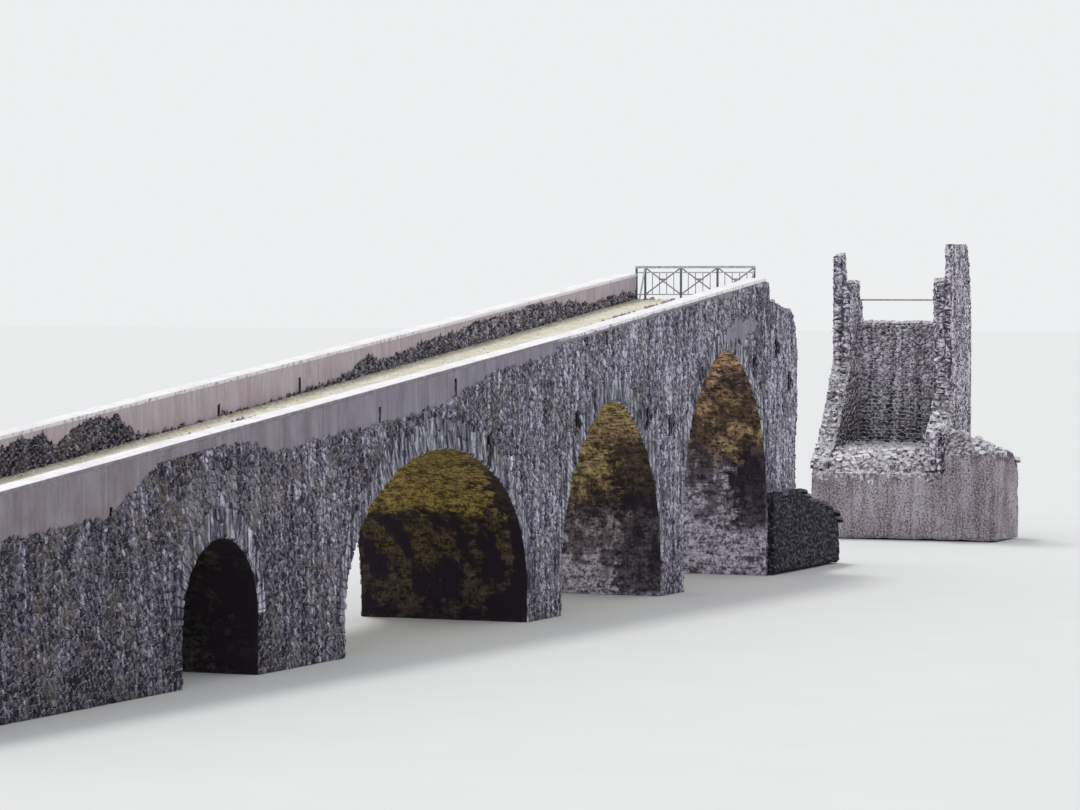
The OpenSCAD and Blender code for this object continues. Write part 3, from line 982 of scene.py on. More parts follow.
@dataclass
class Mason:
    """Lays stones on a face, course by course, wherever the face is free.

    Its backing is the solids that have to lie right behind the stones, free tells whether a
    place is to be covered, and holes are narrow openings in the face to keep clear.
    """

    face: Face
    bond: Bond
    backing: Survey | None = None
    free: Callable[[Vector], bool] | None = None
    weather: Weather = Tones()
    holes: Sequence[Hole] = ()

    REACH = 0.03
    FLUSH = 0.0008
    SMALLEST = 0.3
    LONG_SHARE = 0.12
    LONGER = 1.35
    SHARP = 0.125
    MOST_CUT = 0.45

    def __post_init__(self) -> None:
        """Finds the way into the face."""
        self.inward = (self.face.at(0.1, 0.01, -1) - self.face.at(0.1, 0.01, 0)).normalized()

    def covers(self, u: float, v: float) -> bool:
        """Whether a stone may cover this place of the face.

        Args:
            u: Place along the face.
            v: Place up the face.

        Returns:
            Whether it is free.
        """
        if not (0 <= u <= self.face.length and 0 <= v <= self.face.height):
            return False
        place = self.face.at(u, v)
        if self.free and not self.free(place):
            return False
        if not self.backing:
            return True
        found = self.backing.meet(place - self.inward * self.REACH, self.inward, self.REACH + 0.01)
        return found is not None and abs((found - place).dot(self.inward)) < self.FLUSH

    def short_of_holes(self, cu: float, cv: float, u: float, v: float) -> float:
        """The share of the way from a stone's middle to its corner that meets no hole.

        Args:
            cu: Middle of the stone along the face.
            cv: Middle of the stone up the face.
            u: Corner along the face.
            v: Corner up the face.

        Returns:
            The share, from 0 to 1.
        """
        for a, b, c, d in self.holes:
            if max(u, cu) < a or min(u, cu) > b or max(v, cv) < c or min(v, cv) > d:
                continue
            for k in range(7):
                if a < cu + (u - cu) * k / 6 < b and c < cv + (v - cv) * k / 6 < d:
                    return max(k - 1, 0) / 6
        return 1.0

    def trim(self, ring: list[Flat]) -> list[Flat] | None:
        """Draws a stone's outline in to what is free.

        Args:
            ring: The outline as laid.

        Returns:
            The outline that fits, or None where too little of the stone is left.
        """
        cu, cv = centre(ring)
        if not self.covers(cu, cv):
            return None
        kept = []
        whole = 0.0
        for u, v in ring:
            share = 1.0
            clear = self.covers(cu + (u - cu) / 2, cv + (v - cv) / 2)
            if not clear or not self.covers(u, v):
                low, high = (0.5, 1.0) if clear else (0.0, 0.5)
                for _ in range(4):
                    half = (low + high) / 2
                    inside = self.covers(cu + (u - cu) * half, cv + (v - cv) * half)
                    low, high = (half, high) if inside else (low, half)
                share = low
            share = min(share, self.short_of_holes(cu, cv, u, v))
            whole += share
            kept.append(toward((cu, cv), (u, v), share))
        return kept if whole / len(ring) > self.SMALLEST else None

    def outlines(self, rng: Random) -> Iterator[list[Flat]]:
        """Yields the outlines of all stones, course by course.

        Args:
            rng: Random numbers to lay by.

        Yields:
            The outline of each stone.
        """
        bond = self.bond
        seed = rng.uniform(0, 50)

        def bed(u: float, v: float) -> float:
            """The wandering bed joint that starts at level v."""
            return v + bond.wander * ripple(u / (bond.length * 3), v * 90, seed)

        def uneven() -> float:
            """A share by which a stone differs from its usual size."""
            return rng.uniform(1 - bond.uneven, 1 + bond.uneven)

        v = -bond.height * rng.random()
        while v < self.face.height:
            top = v + bond.height * uneven()
            u = -bond.length * rng.random()
            slant = 0.0
            while u < self.face.length:
                end = u + bond.length * uneven() * (self.LONGER if rng.random() < self.LONG_SHARE else 1.0)
                lean = rng.uniform(-0.18, 0.18) * bond.length
                middle = (u + end) / 2
                low = [(u - slant, bed(u, v)), (middle, bed(middle, v)), (end - lean, bed(end, v))]
                high = [(end + lean, bed(end, top)), (middle, bed(middle, top)), (u + slant, bed(u, top))]
                if rng.random() < bond.split:
                    share = rng.uniform(0.35, 0.65)
                    cut = [
                        tuple(p * (1 - share) + q * share for p, q in zip(a, b))
                        for a, b in ((low[2], high[0]), (low[0], high[2]))
                    ]
                    yield self.shaped([*low, *cut], rng)
                    yield self.shaped([cut[1], cut[0], *high], rng)
                else:
                    yield self.shaped([*low, *high], rng)
                u = end
                slant = lean
            v = top

    def shaped(self, ring: list[Flat], rng: Random) -> list[Flat]:
        """Opens the joint round a stone and knocks off its corners.

        Args:
            ring: The outline up to the middle of the joints.
            rng: Random numbers to work by.

        Returns:
            The outline of the stone itself.
        """
        cu, cv = centre(ring)
        wide = max(p[0] for p in ring) - min(p[0] for p in ring)
        tall = max(p[1] for p in ring) - min(p[1] for p in ring)
        shrink_u = max(1 - self.bond.joint / wide, 0.5)
        shrink_v = max(1 - self.bond.joint / tall, 0.5)
        opened = [(cu + (u - cu) * shrink_u, cv + (v - cv) * shrink_v) for u, v in ring]
        cut = []
        count = len(opened)
        for k, (u, v) in enumerate(opened):
            before, after = opened[k - 1], opened[(k + 1) % count]
            turn = (u - before[0]) * (after[1] - v) - (v - before[1]) * (after[0] - u)
            if turn < self.SHARP * wide * tall:
                cut.append((u, v))
                continue
            for other in (before, after):
                share = min(self.bond.cut * rng.uniform(0.5, 1.25), self.MOST_CUT)
                cut.append(toward((u, v), other, share))
        return cut

    def lay(self, mesh: StoneMesh) -> None:
        """Lays all the stones into a mesh.

        Args:
            mesh: The mesh that gathers them.
        """
        for ring in self.outlines(mesh.rng):
            fitted = self.trim(ring)
            if not fitted:
                continue
            rough = self.bond.rough
            proud = self.bond.proud * mesh.rng.uniform(1 - rough, 1 + rough)
            mark = self.weather(self.face.at(*centre(fitted)), mesh.rng)
            mesh.cushion(self.face, fitted, proud, self.bond, mark)


class RubbleMason(Mason):
    """Lays random rubble: stones of all shapes fitted against each other in rough rows."""

    def outlines(self, rng: Random) -> Iterator[list[Flat]]:
        """Yields the outlines of all stones: the ground nearest to each of many loose points.

        Args:
            rng: Random numbers to lay by.

        Yields:
            The outline of each stone.
        """
        bond = self.bond
        rows = math.ceil(self.face.height / bond.height) + 2
        columns = math.ceil(self.face.length / bond.length) + 2
        seeds: dict[tuple[int, int], Flat] = {}
        for i in range(-1, rows):
            shift = 0.5 * (i % 2) + rng.uniform(-0.15, 0.15)
            for j in range(-1, columns):
                spot = (
                    j + shift + rng.uniform(-bond.loose, bond.loose),
                    i + 0.5 + rng.uniform(-bond.loose, bond.loose),
                )
                if rng.random() > bond.merged:
                    seeds[i, j] = spot
        for (i, j), (x, y) in seeds.items():
            ring = [(x - 1.1, y - 1.0), (x + 1.1, y - 1.0), (x + 1.1, y + 1.0), (x - 1.1, y + 1.0)]
            for di in (0, 1, -1, 2, -2):
                for dj in (-1, 1, 0, -2, 2):
                    other = seeds.get((i + di, j + dj))
                    if other and (di or dj):
                        ring = self.halved(ring, (x, y), other)
            yield self.shaped([(u * bond.length, v * bond.height) for u, v in ring], rng)

    @staticmethod
    def halved(ring: list[Flat], own: Flat, other: Flat) -> list[Flat]:
        """Cuts away what is nearer to another stone's point.

        Args:
            ring: The outline so far.
            own: This stone's point.
            other: The other stone's point.

        Returns:
            What is left of the outline.
        """
        nx, ny = other[0] - own[0], other[1] - own[1]
        limit = (nx * (own[0] + other[0]) + ny * (own[1] + other[1])) / 2
        past = [nx * u + ny * v - limit for u, v in ring]
        if max(past) <= 0:
            return ring
        kept = []
        for k, (u, v) in enumerate(ring):
            before, here = past[k - 1], past[k]
            if (before > 0) != (here > 0):
                kept.append(toward(ring[k - 1], (u, v), before / (before - here)))
            if here <= 0:
                kept.append((u, v))
        return kept

    def shaped(self, ring: list[Flat], rng: Random) -> list[Flat]:
        """Opens the joint round a stone and drops corners that are too close together.

        Args:
            ring: The outline up to the middle of the joints.
            rng: Random numbers to work by.

        Returns:
            The outline of the stone itself.
        """
        close = self.bond.height * 0.2
        spaced: list[Flat] = []
        for u, v in ring:
            if not spaced or math.hypot(u - spaced[-1][0], v - spaced[-1][1]) > close:
                spaced.append((u, v))
        if len(spaced) < 4:
            spaced = ring
        cu, cv = centre(spaced)
        opened = []
        for u, v in spaced:
            reach = math.hypot(u - cu, v - cv)
            keep = max(1 - self.bond.joint * rng.uniform(0.1, 1.7) / max(reach, 1e-6), 0.5)
            opened.append(toward((cu, cv), (u, v), keep))
        return opened


@dataclass
class RaggedLine:
    """A worn edge: levels at distances along, in millimetres, with breaks of its own between."""

    course: Sequence[Flat]
    seed: float
    broken: float = 0.010

    def __post_init__(self) -> None:
        """Turns its course into metres."""
        self.points = [(x * MM, z * MM) for x, z in self.course]

    def level(self, x: float) -> float:
        """The level of the edge at a distance along.

        Args:
            x: Distance along, in metres.

        Returns:
            The level, in metres.
        """
        points = self.points
        k = min(max(bisect_right([p[0] for p in points], x) - 1, 0), len(points) - 2)
        (xa, za), (xb, zb) = points[k], points[k + 1]
        base = za + (zb - za) * clamp((x - xa) / (xb - xa))
        layers = ((0.6, 22), (0.5, 70), (0.5, 130))
        breaks = sum(share * ripple(x * fine, self.seed) for share, fine in layers)
        return base + self.broken * breaks


@dataclass(frozen=True)
class Coat:
    """A coat of render on an upright face, from a ragged foot to a straight top."""

    name: str
    face_y: float
    out: float
    start: float
    end: float
    foot: Callable[[float], float]
    top: Callable[[float], float]
    holes: tuple[Hole, ...] = ()
    thick: float = 0.0044
    step: float = 0.0048
    rows: int = 8
    hiding: bool = True

    def hides(self, place: Vector) -> bool:
        """Whether the coat covers a place of its face."""
        within = self.hiding and self.start <= place.x <= self.end
        return within and self.foot(place.x) + 0.006 < place.z < self.top(place.x) + 0.02

    def columns(self) -> list[float]:
        """Distances along at which the coat has a row of points.

        Returns:
            The distances, in order.
        """
        count = max(2, round((self.end - self.start) / self.step))
        places = [self.start + (self.end - self.start) * k / count for k in range(count + 1)]
        for left, right, _, _ in self.holes:
            places = [p for p in places if not left - 0.002 < p < right + 0.002] + [left, right]
        return sorted(places)

    def open(self, x: float, z: float) -> bool:
        """Whether a hole goes through the coat here."""
        return any(a < x < b and c < z < d for a, b, c, d in self.holes)

    def make(self, material: Material, slot: str) -> Piece:
        """Builds the coat.

        Args:
            material: Its finish.
            slot: Not used; it is passed on to place_mesh, which ignores it.

        Returns:
            The new object.
        """
        columns = self.columns()
        points = []
        levels = []
        for x in columns:
            low = self.foot(x)
            high = max(self.top(x), low + 0.004)
            for r in range(-1, self.rows + 1):
                share = max(r, 0) / self.rows
                z = low + (high - low) * share ** 1.3
                lumps = 0.5 * ripple(x * 30, z * 30, self.out) + 0.3 * ripple(x * 110, z * 110, self.out)
                out = self.thick * (1 + 0.35 * lumps)
                if r <= 0:
                    out = -0.0006 if r < 0 else self.thick * 0.55
                points.append(Vector((x, self.face_y + self.out * out, z)))
                levels.append(z)
        tall = self.rows + 2
        faces = []
        for c in range(len(columns) - 1):
            x = (columns[c] + columns[c + 1]) / 2
            for r in range(tall - 1):
                a, b = c * tall + r, (c + 1) * tall + r
                if self.open(x, (levels[a] + levels[a + 1]) / 2):
                    continue
                loop = (a, b, b + 1, a + 1)
                faces.append(loop if self.out < 0 else tuple(reversed(loop)))
        return place_mesh(self.name, points, faces, material, slot, smooth=True)


class Finishes:
    """All the finishes of the bridge, each made once."""

    OLIVE = tint(126, 110, 56)
    OCHRE = tint(144, 124, 70)
    GOLD = tint(172, 153, 102)
    ORANGE = tint(196, 158, 124)
    TAN = tint(160, 136, 104)
    BROWN = tint(118, 98, 86)
    PIER = tint(173, 166, 181)
    VAULT_DARK = tint(32, 24, 36)
    DULL = tint(74, 62, 46)
    ASH = (tint(60, 54, 56), tint(40, 35, 36), tint(56, 50, 42), tint(70, 62, 48))
    BANDS = {
        1: ((0.0, ASH[0]), (0.4, ASH[1]), (0.9, ASH[2]), (1.0, ASH[3])),
        2: ((0.0, tint(56, 48, 48)), (0.4, DULL), (0.60, DULL), (0.63, OLIVE), (0.82, OCHRE), (1.0, OLIVE)),
        3: ((0.0, PIER), (0.42, tint(160, 148, 146)), (0.50, BROWN), (0.62, GOLD), (0.84, TAN), (1.0, GOLD)),
        4: (
            (0.0, PIER), (0.40, PIER), (0.56, BROWN), (0.58, TAN), (0.76, TAN), (0.86, BROWN), (0.90, ORANGE),
        ),
    }
    BLOTS = {1: DarkBand(0, 1, 0.9), 2: DarkBand(0, 0.61, 0.96), 3: DarkBand(0.1, 0.66, 0.7), 4: DarkBand(0.3, 0.88, 0.7)}
    RIMS = {
        1: DarkBand(0, 1, 0.7, 0.12), 2: DarkBand(0, 0.9, 0.85, 0.07),
        3: DarkBand(0, 0.80, 0.8, 0.17), 4: DarkBand(0.2, 0.57, 0.85, 0.13),
    }

    def __init__(self, site: Site) -> None:
        """Makes the materials.

        Args:
            site: Places of the bridge, for the levels of the vaults.
        """
        walls = (tint(40, 35, 47), tint(116, 111, 127), tint(212, 207, 224))
        wall = StoneFinish(
            "near_rubble", *walls, bleached_and_sunlit=0.35, grain=0.42, warm=tint(116, 110, 100), shaded=0.30,
        )
        self.rubble = wall.make()
        ring = (tint(52, 50, 64), tint(130, 129, 142), tint(208, 207, 220))
        self.ring = StoneFinish(
            "ring_stone", *ring, streaks=0.62, pitted=0.3, grain=0.14, warm=tint(110, 110, 92), fine=62,
        ).make()
        ruined = (tint(42, 36, 49), tint(121, 114, 131), tint(238, 233, 245))
        pink = tint(132, 118, 118)
        ruin = StoneFinish("ruin_rubble", *ruined, streaks=0.36, bleached_and_sunlit=0.95, grain=0.46, warm=pink)
        self.ruin = ruin.make()
        torn = (tint(70, 64, 72), tint(148, 141, 147), tint(224, 220, 226))
        broken = StoneFinish("broken_core", *torn, streaks=0.1, bleached_and_sunlit=0.8, warm=tint(146, 130, 116))
        self.broken = broken.make()
        sunk = (tint(10, 7, 15), tint(38, 33, 48), tint(104, 97, 116))
        footing = StoneFinish("footing_stone", *sunk, streaks=0.2, bleached_and_sunlit=0.12)
        self.footing = footing.make()
        mortar = replace(wall, name="wall_mortar", bed=0.42, bleached_and_sunlit=0.0)
        self.mortar = mortar.make()
        holed = replace(mortar, name="holed_mortar", open_y=-site.near_y, open_to_x=site.river_x - 0.02)
        self.holed = holed.make()
        self.core = replace(broken, name="core_mortar", bed=0.4, bleached_and_sunlit=0.0).make()
        self.ruin_mortar = replace(ruin, name="ruin_mortar", bed=0.45, bleached_and_sunlit=0.6).make()
        grey = (tint(132, 128, 142), tint(112, 106, 116), tint(150, 146, 156), tint(116, 104, 104))
        self.coat = CoatFinish("grey_render", *grey, warm=tint(130, 119, 122), stained=0.4).make()
        pinkish = (tint(184, 171, 181), tint(150, 137, 144), tint(198, 188, 199), tint(158, 138, 130))
        self.pink_coat = CoatFinish("pinkish_render", *pinkish, stained=0.34, fine=70).make()
        base = (tint(138, 128, 134), tint(100, 88, 92), tint(190, 183, 191), tint(122, 104, 96))
        rough = CoatFinish("base_render", *base, stained=0.45, fine=24, speckled=0.9, bleached_and_sunlit=0.95)
        self.base_coat = rough.make()
        capped = (tint(240, 238, 240), tint(218, 214, 216), tint(150, 145, 148))
        self.coping = PaleFinish("coping_cement", *capped, 0.3, 60, side=tint(128, 122, 130)).make()
        gravelly = (tint(232, 227, 212), tint(204, 198, 172), tint(134, 124, 98))
        far_foot = site.far_y - site.parapet_t
        self.gravel = PaleFinish("road_gravel", *gravelly, 0.6, 95, verge_y=far_foot).make()
        worn_paint = (tint(84, 92, 100), tint(120, 126, 136), tint(96, 66, 50))
        self.steel = PaintFinish("railing_steel", *worn_paint, 0.0).make()
        pale_paint = (tint(176, 176, 188), tint(208, 208, 216), tint(110, 80, 62))
        self.top_rail = PaintFinish("top_rail_steel", *pale_paint, 0.0).make()
        bar_paint = (tint(136, 136, 150), tint(168, 168, 180), tint(100, 72, 56))
        self.braces = PaintFinish("brace_steel", *bar_paint, 0.0).make()
        pipe_paint = (tint(150, 142, 138), tint(186, 178, 172), tint(120, 78, 54))
        self.pipe = PaintFinish("pipe_rail_steel", *pipe_paint, 0.06).make()
        self.soffits = {k: self.soffit(site, k, mortar) for k in Site.ARCHES}

    def soffit(self, site: Site, arch: int, mortar: StoneFinish) -> Material:
        """The finish of one vault's underside.

        Args:
            site: Places of the bridge.
            arch: The arch's number.
            mortar: Finish of the vault's faces beside its ring stones.

        Returns:
            The material.
        """
        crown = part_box(f"vault_{arch}")[1].z - 0.06
        stains = (self.BLOTS[arch], self.RIMS[arch])
        bands = (self.BANDS[arch], self.VAULT_DARK)
        return SoffitFinish(f"soffit_{arch}", *bands, *stains, crown, site.near_y, mortar).make()

    def dress(self, material: Material, *names: str) -> None:
        """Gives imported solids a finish.

        Args:
            material: The finish.
            names: The solids.
        """
        for name in names:
            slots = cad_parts[name].data.materials
            slots.clear()
            slots.append(material)


@dataclass
class Trade:
    """One job at the bridge, with the site and the finishes that it uses."""

    site: Site
    finishes: Finishes


@dataclass
class LongWall(Trade):
    """Rubble of one long face of the bridge, ramp, piers and parapet together."""

    side: Side
    coats: list[Coat]
    rings: list[ArchStones]
    bond: Bond = Bond(length=0.0172, height=0.0168, joint=0.0008, proud=0.0026, inset=0.84)

    SLOTS = (
        (1, 0.27, 2.9), (2, -0.35, 3.2), (2, 0.36, 4.3), (3, -0.66, 5.2),
        (3, -0.3, 2.9), (3, 0.34, 3.4), (3, 0.62, 2.9), (3, 0.79, 5.2),
    )
    RUNS = ((-2276, 500, 0.05), (-2120, 475, 0.12), (-1640, 520, 0.13), (-1075, 500, 0.1), (-600, 640, 0.08))
    RUN_W = 0.011
    SLOT_W = 0.014
    SLOT_H = 0.056
    SLOT_RIM = 0.0045
    RAMP_TONE = -0.02
    RIVER_TONE = 0.03
    RAMP_END = 1.9
    TONE_REACH = 3.2
    STUB_TONE = 0.08
    FOOT_TONE = 0.1
    FOOT_H = 0.18

    def weather(self, place: Vector, rng: Random) -> Mark:
        """Tone, lime, and soot and shade of a stone: darker along the ramp, limed below the tall holes, with
        painted shadow round them.

        Args:
            place: Where the stone lies.
            rng: Random numbers to choose by.

        Returns:
            Its tone, lime, and soot and shade.
        """
        share = clamp((place.x - self.site.west_x - self.RAMP_END) / self.TONE_REACH)
        shift = self.RAMP_TONE + (self.RIVER_TONE - self.RAMP_TONE) * share
        shift += 0.2 * ripple(place.x * 5, place.z * 3, self.side.value)
        if place.x > self.site.end_x + 0.02:
            shift += self.STUB_TONE
        foot = clamp(1 - place.z / self.FOOT_H) * self.FOOT_TONE
        tone = clamp(rng.gauss(0.5 + shift - foot, 0.11))
        lime = 0.0
        if self.side is Side.NEAR:
            for x, z, long in self.runs:
                drop = z - place.z
                near = abs(place.x - x - 0.004 * ripple(drop * 20, x))
                if 0 < drop < long and near < self.RUN_W:
                    lime = max(lime, 1 - 0.8 * drop / long)
            crown = self.rings[0].high
            over = place.z - crown.z + 0.05
            if abs(place.x - (self.rings[0].low.x + crown.x) / 2) < 0.2 and 0 < over < 0.16:
                lime = max(lime, 0.3 * clamp(ripple(place.x * 60) + 0.2))
        return (tone, lime, self.shade(place))

    def shade(self, place: Vector) -> float:
        """Painted shadow on the stones that line a tall hole, and on those beside its middle.

        Args:
            place: Where the stone lies.

        Returns:
            The painted shadow, from 0 to 1.
        """
        for a, b, c, d in self.slots():
            middle = (c + d) / 2
            slit = a - 0.005 < place.x < b + 0.007 and c < place.z < d + 0.008
            if slit or a < place.x < b + 0.032 and abs(place.z - middle) < 0.011:
                return 0.96
        return 0.0

    @property
    def runs(self) -> list[tuple[float, float, float]]:
        """Lime runs below the tall holes: place along the bridge, level of the top, length."""
        return [(self.site.end_x + x * MM, z * MM, long) for x, z, long in self.RUNS]

    def backing(self) -> Survey:
        """The solids whose faces lie in this face of the bridge.

        Returns:
            The survey of those solids.
        """
        side = self.side.name.lower()
        names = [f"{side}_spandrel_{k}" for k in Site.ARCHES]
        names += [f"ramp_{side}_wall", f"{side}_parapet_west", f"{side}_parapet_east"]
        names += ["west_abutment", "pier_a", "pier_b", "pier_c", "pier_d"]
        return Survey(*names)

    def stretches(self) -> list[tuple[str, float, float]]:
        """The face in stretches, one mesh each.

        Returns:
            Name, start and end of each.
        """
        cuts = [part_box(f"near_spandrel_{k}")[0].x for k in Site.ARCHES]
        names = ["ramp", "bay_1", "bay_2", "bay_3", "bay_4"]
        ends = [*cuts, self.site.river_x + 0.03]
        return list(zip(names, [self.site.west_x, *cuts], ends))

    def build(self) -> None:
        """Lays the rubble, one stretch after another."""
        backing = self.backing()
        y = self.site.face_y(self.side)
        for seed, (name, x0, x1) in enumerate(self.stretches()):
            corner = Vector((x0, y, 0))
            out = Vector((0, self.side.value, 0))
            face = Panel(corner, ALONG, out, x1 - x0, WALLS_H)
            mesh = StoneMesh(seed * 7 + 11 + self.side.value)
            rim = self.SLOT_RIM
            holes = [(a - x0 - rim, b - x0 + rim, c - rim, d + rim) for a, b, c, d in self.slots()]
            RubbleMason(face, self.bond, backing, self.free, self.weather, holes).lay(mesh)
            self.rims(mesh, face, x0, x1)
            mesh.build(f"{self.side.name.lower()}_rubble_{name}", self.finishes.rubble, "wall_rubble")

    def rims(self, mesh: StoneMesh, face: Face, x0: float, x1: float) -> None:
        """Lays thin black rims along the tall holes of a stretch, as painted shadow at their edges.

        Args:
            mesh: The stretch's stones.
            face: Its face.
            x0: Where it starts along the bridge.
            x1: Where it ends.
        """
        bond = Bond(inset=0.9, sunk=0.0015)
        for a, b, c, d in self.slots():
            if not x0 < (a + b) / 2 < x1:
                continue
            rim = self.SLOT_RIM
            upright = ((a - rim, a, c, d), (b, b + rim, c, d))
            level = ((a - rim, b + rim, d, d + rim), (a - rim, b + rim, c - rim, c))
            for left, right, low, high in upright + level:
                ring = [(left - x0, low), (right - x0, low), (right - x0, high), (left - x0, high)]
                # Painted shadow: each rim stone is fully darkened.
                mesh.cushion(face, ring, 0.0006, bond, (0.0, 0.0, 1.0))

    def slots(self) -> list[Hole]:
        """The tall holes of the near face: start, end, foot and top of each.

        Returns:
            The holes, and none for the far face.
        """
        found = []
        for k, share, deep in self.SLOTS if self.side is Side.NEAR else ():
            left, right = self.rings[k].inner[0][0], self.rings[k].inner[-1][0]
            x = (left + right) / 2 + share * (right - left)
            foot = self.site.road(x) - (deep + 0.5) * self.SLOT_H
            half = self.SLOT_W / 2 + 0.0015
            found.append((x - half, x + half, foot, foot + self.SLOT_H))
        return found

    def west_end(self) -> None:
        """Lays the rubble of the ramp's end, once for both faces."""
        names = ["ramp_end_wall", "ramp_near_wall", "ramp_far_wall", "near_parapet_west", "far_parapet_west"]
        corner = Vector((self.site.west_x, self.site.near_y, 0))
        wide = self.site.far_y - self.site.near_y
        face = Panel(corner, ACROSS, Vector((-1, 0, 0)), wide, WALLS_H)
        mesh = StoneMesh(97)
        RubbleMason(face, self.bond, Survey(*names), None, self.weather).lay(mesh)
        mesh.build("ramp_end_rubble", self.finishes.rubble, "wall_rubble")

    def free(self, place: Vector) -> bool:
        """Whether neither a coat nor ring stones hide this place."""
        return not any(cover.hides(place) for cover in (*self.coats, *self.rings))


@dataclass
class ArchStones(Trade):
    """Ring stones on both faces of an arch, and the stones of its underside."""

    arch: int
    ring_stone: float = 0.018
    ring_off: float = 0.0006
    samples: int = 120

    GRID = 0.0062
    COURSES = (0.034, 0.0125, 0.0030)
    FIELD = (0.026, 0.0165, 0.0040)
    RING_DEPTHS = {1: 0.080, 2: 0.088, 3: 0.076, 4: 0.058}

    def __post_init__(self) -> None:
        """Reads the arch's curve from its vault."""
        self.low, self.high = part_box(f"vault_{self.arch}")
        vault = Survey(f"vault_{self.arch}")
        mid_x = (self.low.x + self.high.x) / 2
        middle = Vector((mid_x, self.site.mid_y, self.low.z + 0.0005))
        self.inner: list[Flat] = []
        for k in range(self.samples + 1):
            angle = math.pi * (1 - k / self.samples)
            way = Vector((math.cos(angle), 0, math.sin(angle)))
            found = vault.meet(middle, way)
            self.inner.append((found.x, found.z))
        self.curve = Barrel(self.inner, 0, 1)
        self.tree = KDTree(len(self.inner))
        for k, (x, z) in enumerate(self.inner):
            self.tree.insert((x, 0, z), k)
        self.tree.balance()

    def depth(self, s: float) -> float:
        """How deep the ring stones are at a distance along the curve.

        Args:
            s: Distance along the curve from its left foot.

        Returns:
            Their depth, ragged from stone to stone.
        """
        ragged = 0.24 * ripple(s * 75, self.arch) + 0.14 * ripple(s * 14, self.arch)
        top = math.sin(math.pi * clamp(s / self.curve.height)) ** 1.5
        return self.RING_DEPTHS[self.arch] * (0.46 + 0.5 * top + ragged)

    def hides(self, place: Vector) -> bool:
        """Whether the ring stones cover a place of a long face."""
        _, k, away = self.tree.find((place.x, 0, place.z))
        return place.z >= self.low.z and away < self.depth(self.curve.marks[k]) + 0.0004

    def ring(self, side: Side, slots: Sequence[Hole]) -> None:
        """Lays the ring stones on one face.

        Args:
            side: Which face of the bridge.
            slots: The tall holes of the near face: start, end, foot and top of each.
        """
        mesh = StoneMesh(self.arch * 17 + side.value)
        rng = mesh.rng
        corner = Vector((0, self.site.face_y(side), 0))
        face = Panel(corner, ALONG, Vector((0, side.value, 0)), 1, 1)
        bond = Bond(proud=0.0032, inset=0.84, rough=0.5)
        s, gap = 0.0, 0.0005
        while s < self.curve.height - 0.004:
            end = min(s + self.ring_stone * rng.uniform(0.45, 1.5), self.curve.height)
            depth = self.depth((s + end) / 2)
            corners = []
            for t, out in ((s + gap, 0.0012), (s + gap, -depth), (end - gap, -depth), (end - gap, 0.0012)):
                spot = self.curve.at(0, t, out)
                corners.append((spot.x, spot.z))
            parts = [(0.0, 1.0)] if rng.random() < 0.55 else self.halves(rng)
            for a, b in parts:
                left = [toward(corners[0], corners[1], c) for c in (a, (a + b) / 2, b)]
                right = [toward(corners[3], corners[2], c) for c in (b, (a + b) / 2, a)]
                off = self.ring_off
                ring = [(u + rng.uniform(-off, off), v + rng.uniform(-off, off)) for u, v in left + right]
                ring.reverse()
                tone = 0.50 - 0.12 * clamp((2 - corners[0][0]) / 4)
                x, z = toward(left[1], right[1], 0.5)
                holes = slots if side is Side.NEAR else ()
                if any(a - 0.003 < x < b + 0.003 and c < z < d for a, b, c, d in holes):
                    continue
                # Ring stones round a tall hole are painted dark as its shadow, and lie nearly flat.
                in_slot_shadow = any(
                    a - 0.008 < x < b + 0.014 and c - 0.008 < z < d + 0.008 for a, b, c, d in holes
                )
                mark = (clamp(rng.gauss(tone, 0.06)), 0.0, 0.92 * in_slot_shadow)
                proud = 0.0006 if in_slot_shadow else bond.proud * rng.uniform(0.6, 1.3)
                mesh.cushion(face, ring, proud, bond, mark)
            s = end
        mesh.build(f"{side.name.lower()}_ring_{self.arch}", self.finishes.ring, "vault_stone")

    @staticmethod
    def halves(rng: Random) -> list[Flat]:
        """Shares at which a ring is made of two stones in depth."""
        cut = rng.uniform(0.35, 0.65)
        return [(0.0, cut - 0.012), (cut + 0.012, 1.0)]

    def relief(self, u: float, v: float, below: bool) -> tuple[float, float]:
        """How far the worn masonry of the underside stands out, and its tone.

        Args:
            u: Place across the bridge.
            v: Place along the curve, from foot to foot.
            below: Whether it is the face of a pier, under the vault's foot.

        Returns:
            How far it stands out, and its tone.
        """
        length, height, proud = self.FIELD if below else self.COURSES
        warp = 0.35 * ripple(u * 28, v * 28, self.arch)
        apart, spots = noise.voronoi(Vector((u / length + warp, v / height + warp, self.arch * 3.7)))
        crown = clamp((apart[1] - apart[0]) * 3)
        own = ripple(*(spots[0] * 5.3))
        out = proud * (0.35 + crown * (0.55 + 0.5 * own)) + 0.0012 * ripple(u * 16, v * 16, 4.0)
        return max(out, 0.0005), 0.5 + 0.24 * own - 0.10 * (1 - crown)

    def underside(self) -> None:
        """Builds the worn masonry of the vault's underside and of the pier faces below it."""
        left, right = self.inner[0][0], self.inner[-1][0]
        line = [(left, 0.0), *self.inner, (right, 0.0)]
        barrel = Barrel(line, self.site.near_y + 0.001, self.site.far_y - 0.001)
        across, along = round(barrel.length / self.GRID), round(barrel.height / self.GRID)
        points, tones = [], []
        for i in range(along + 1):
            v = barrel.height * i / along
            below = barrel.at(0, v).z < self.low.z
            for j in range(across + 1):
                u = barrel.length * j / across
                out, tone = self.relief(u, v, below)
                points.append(barrel.at(u, v, -0.0004 if j in (0, across) else out))
                tones.append(tone)
        name, finish = f"soffit_masonry_{self.arch}", self.finishes.soffits[self.arch]
        place_mesh(name, points, net(along, across + 1), finish, "vault_stone", smooth=True, tone=tones)

    def build(self, slots: Sequence[Hole]) -> None:
        """Builds the rings and the underside.

        Args:
            slots: The tall holes of the near face.
        """
        for side in Side:
            self.ring(side, slots)
        self.underside()


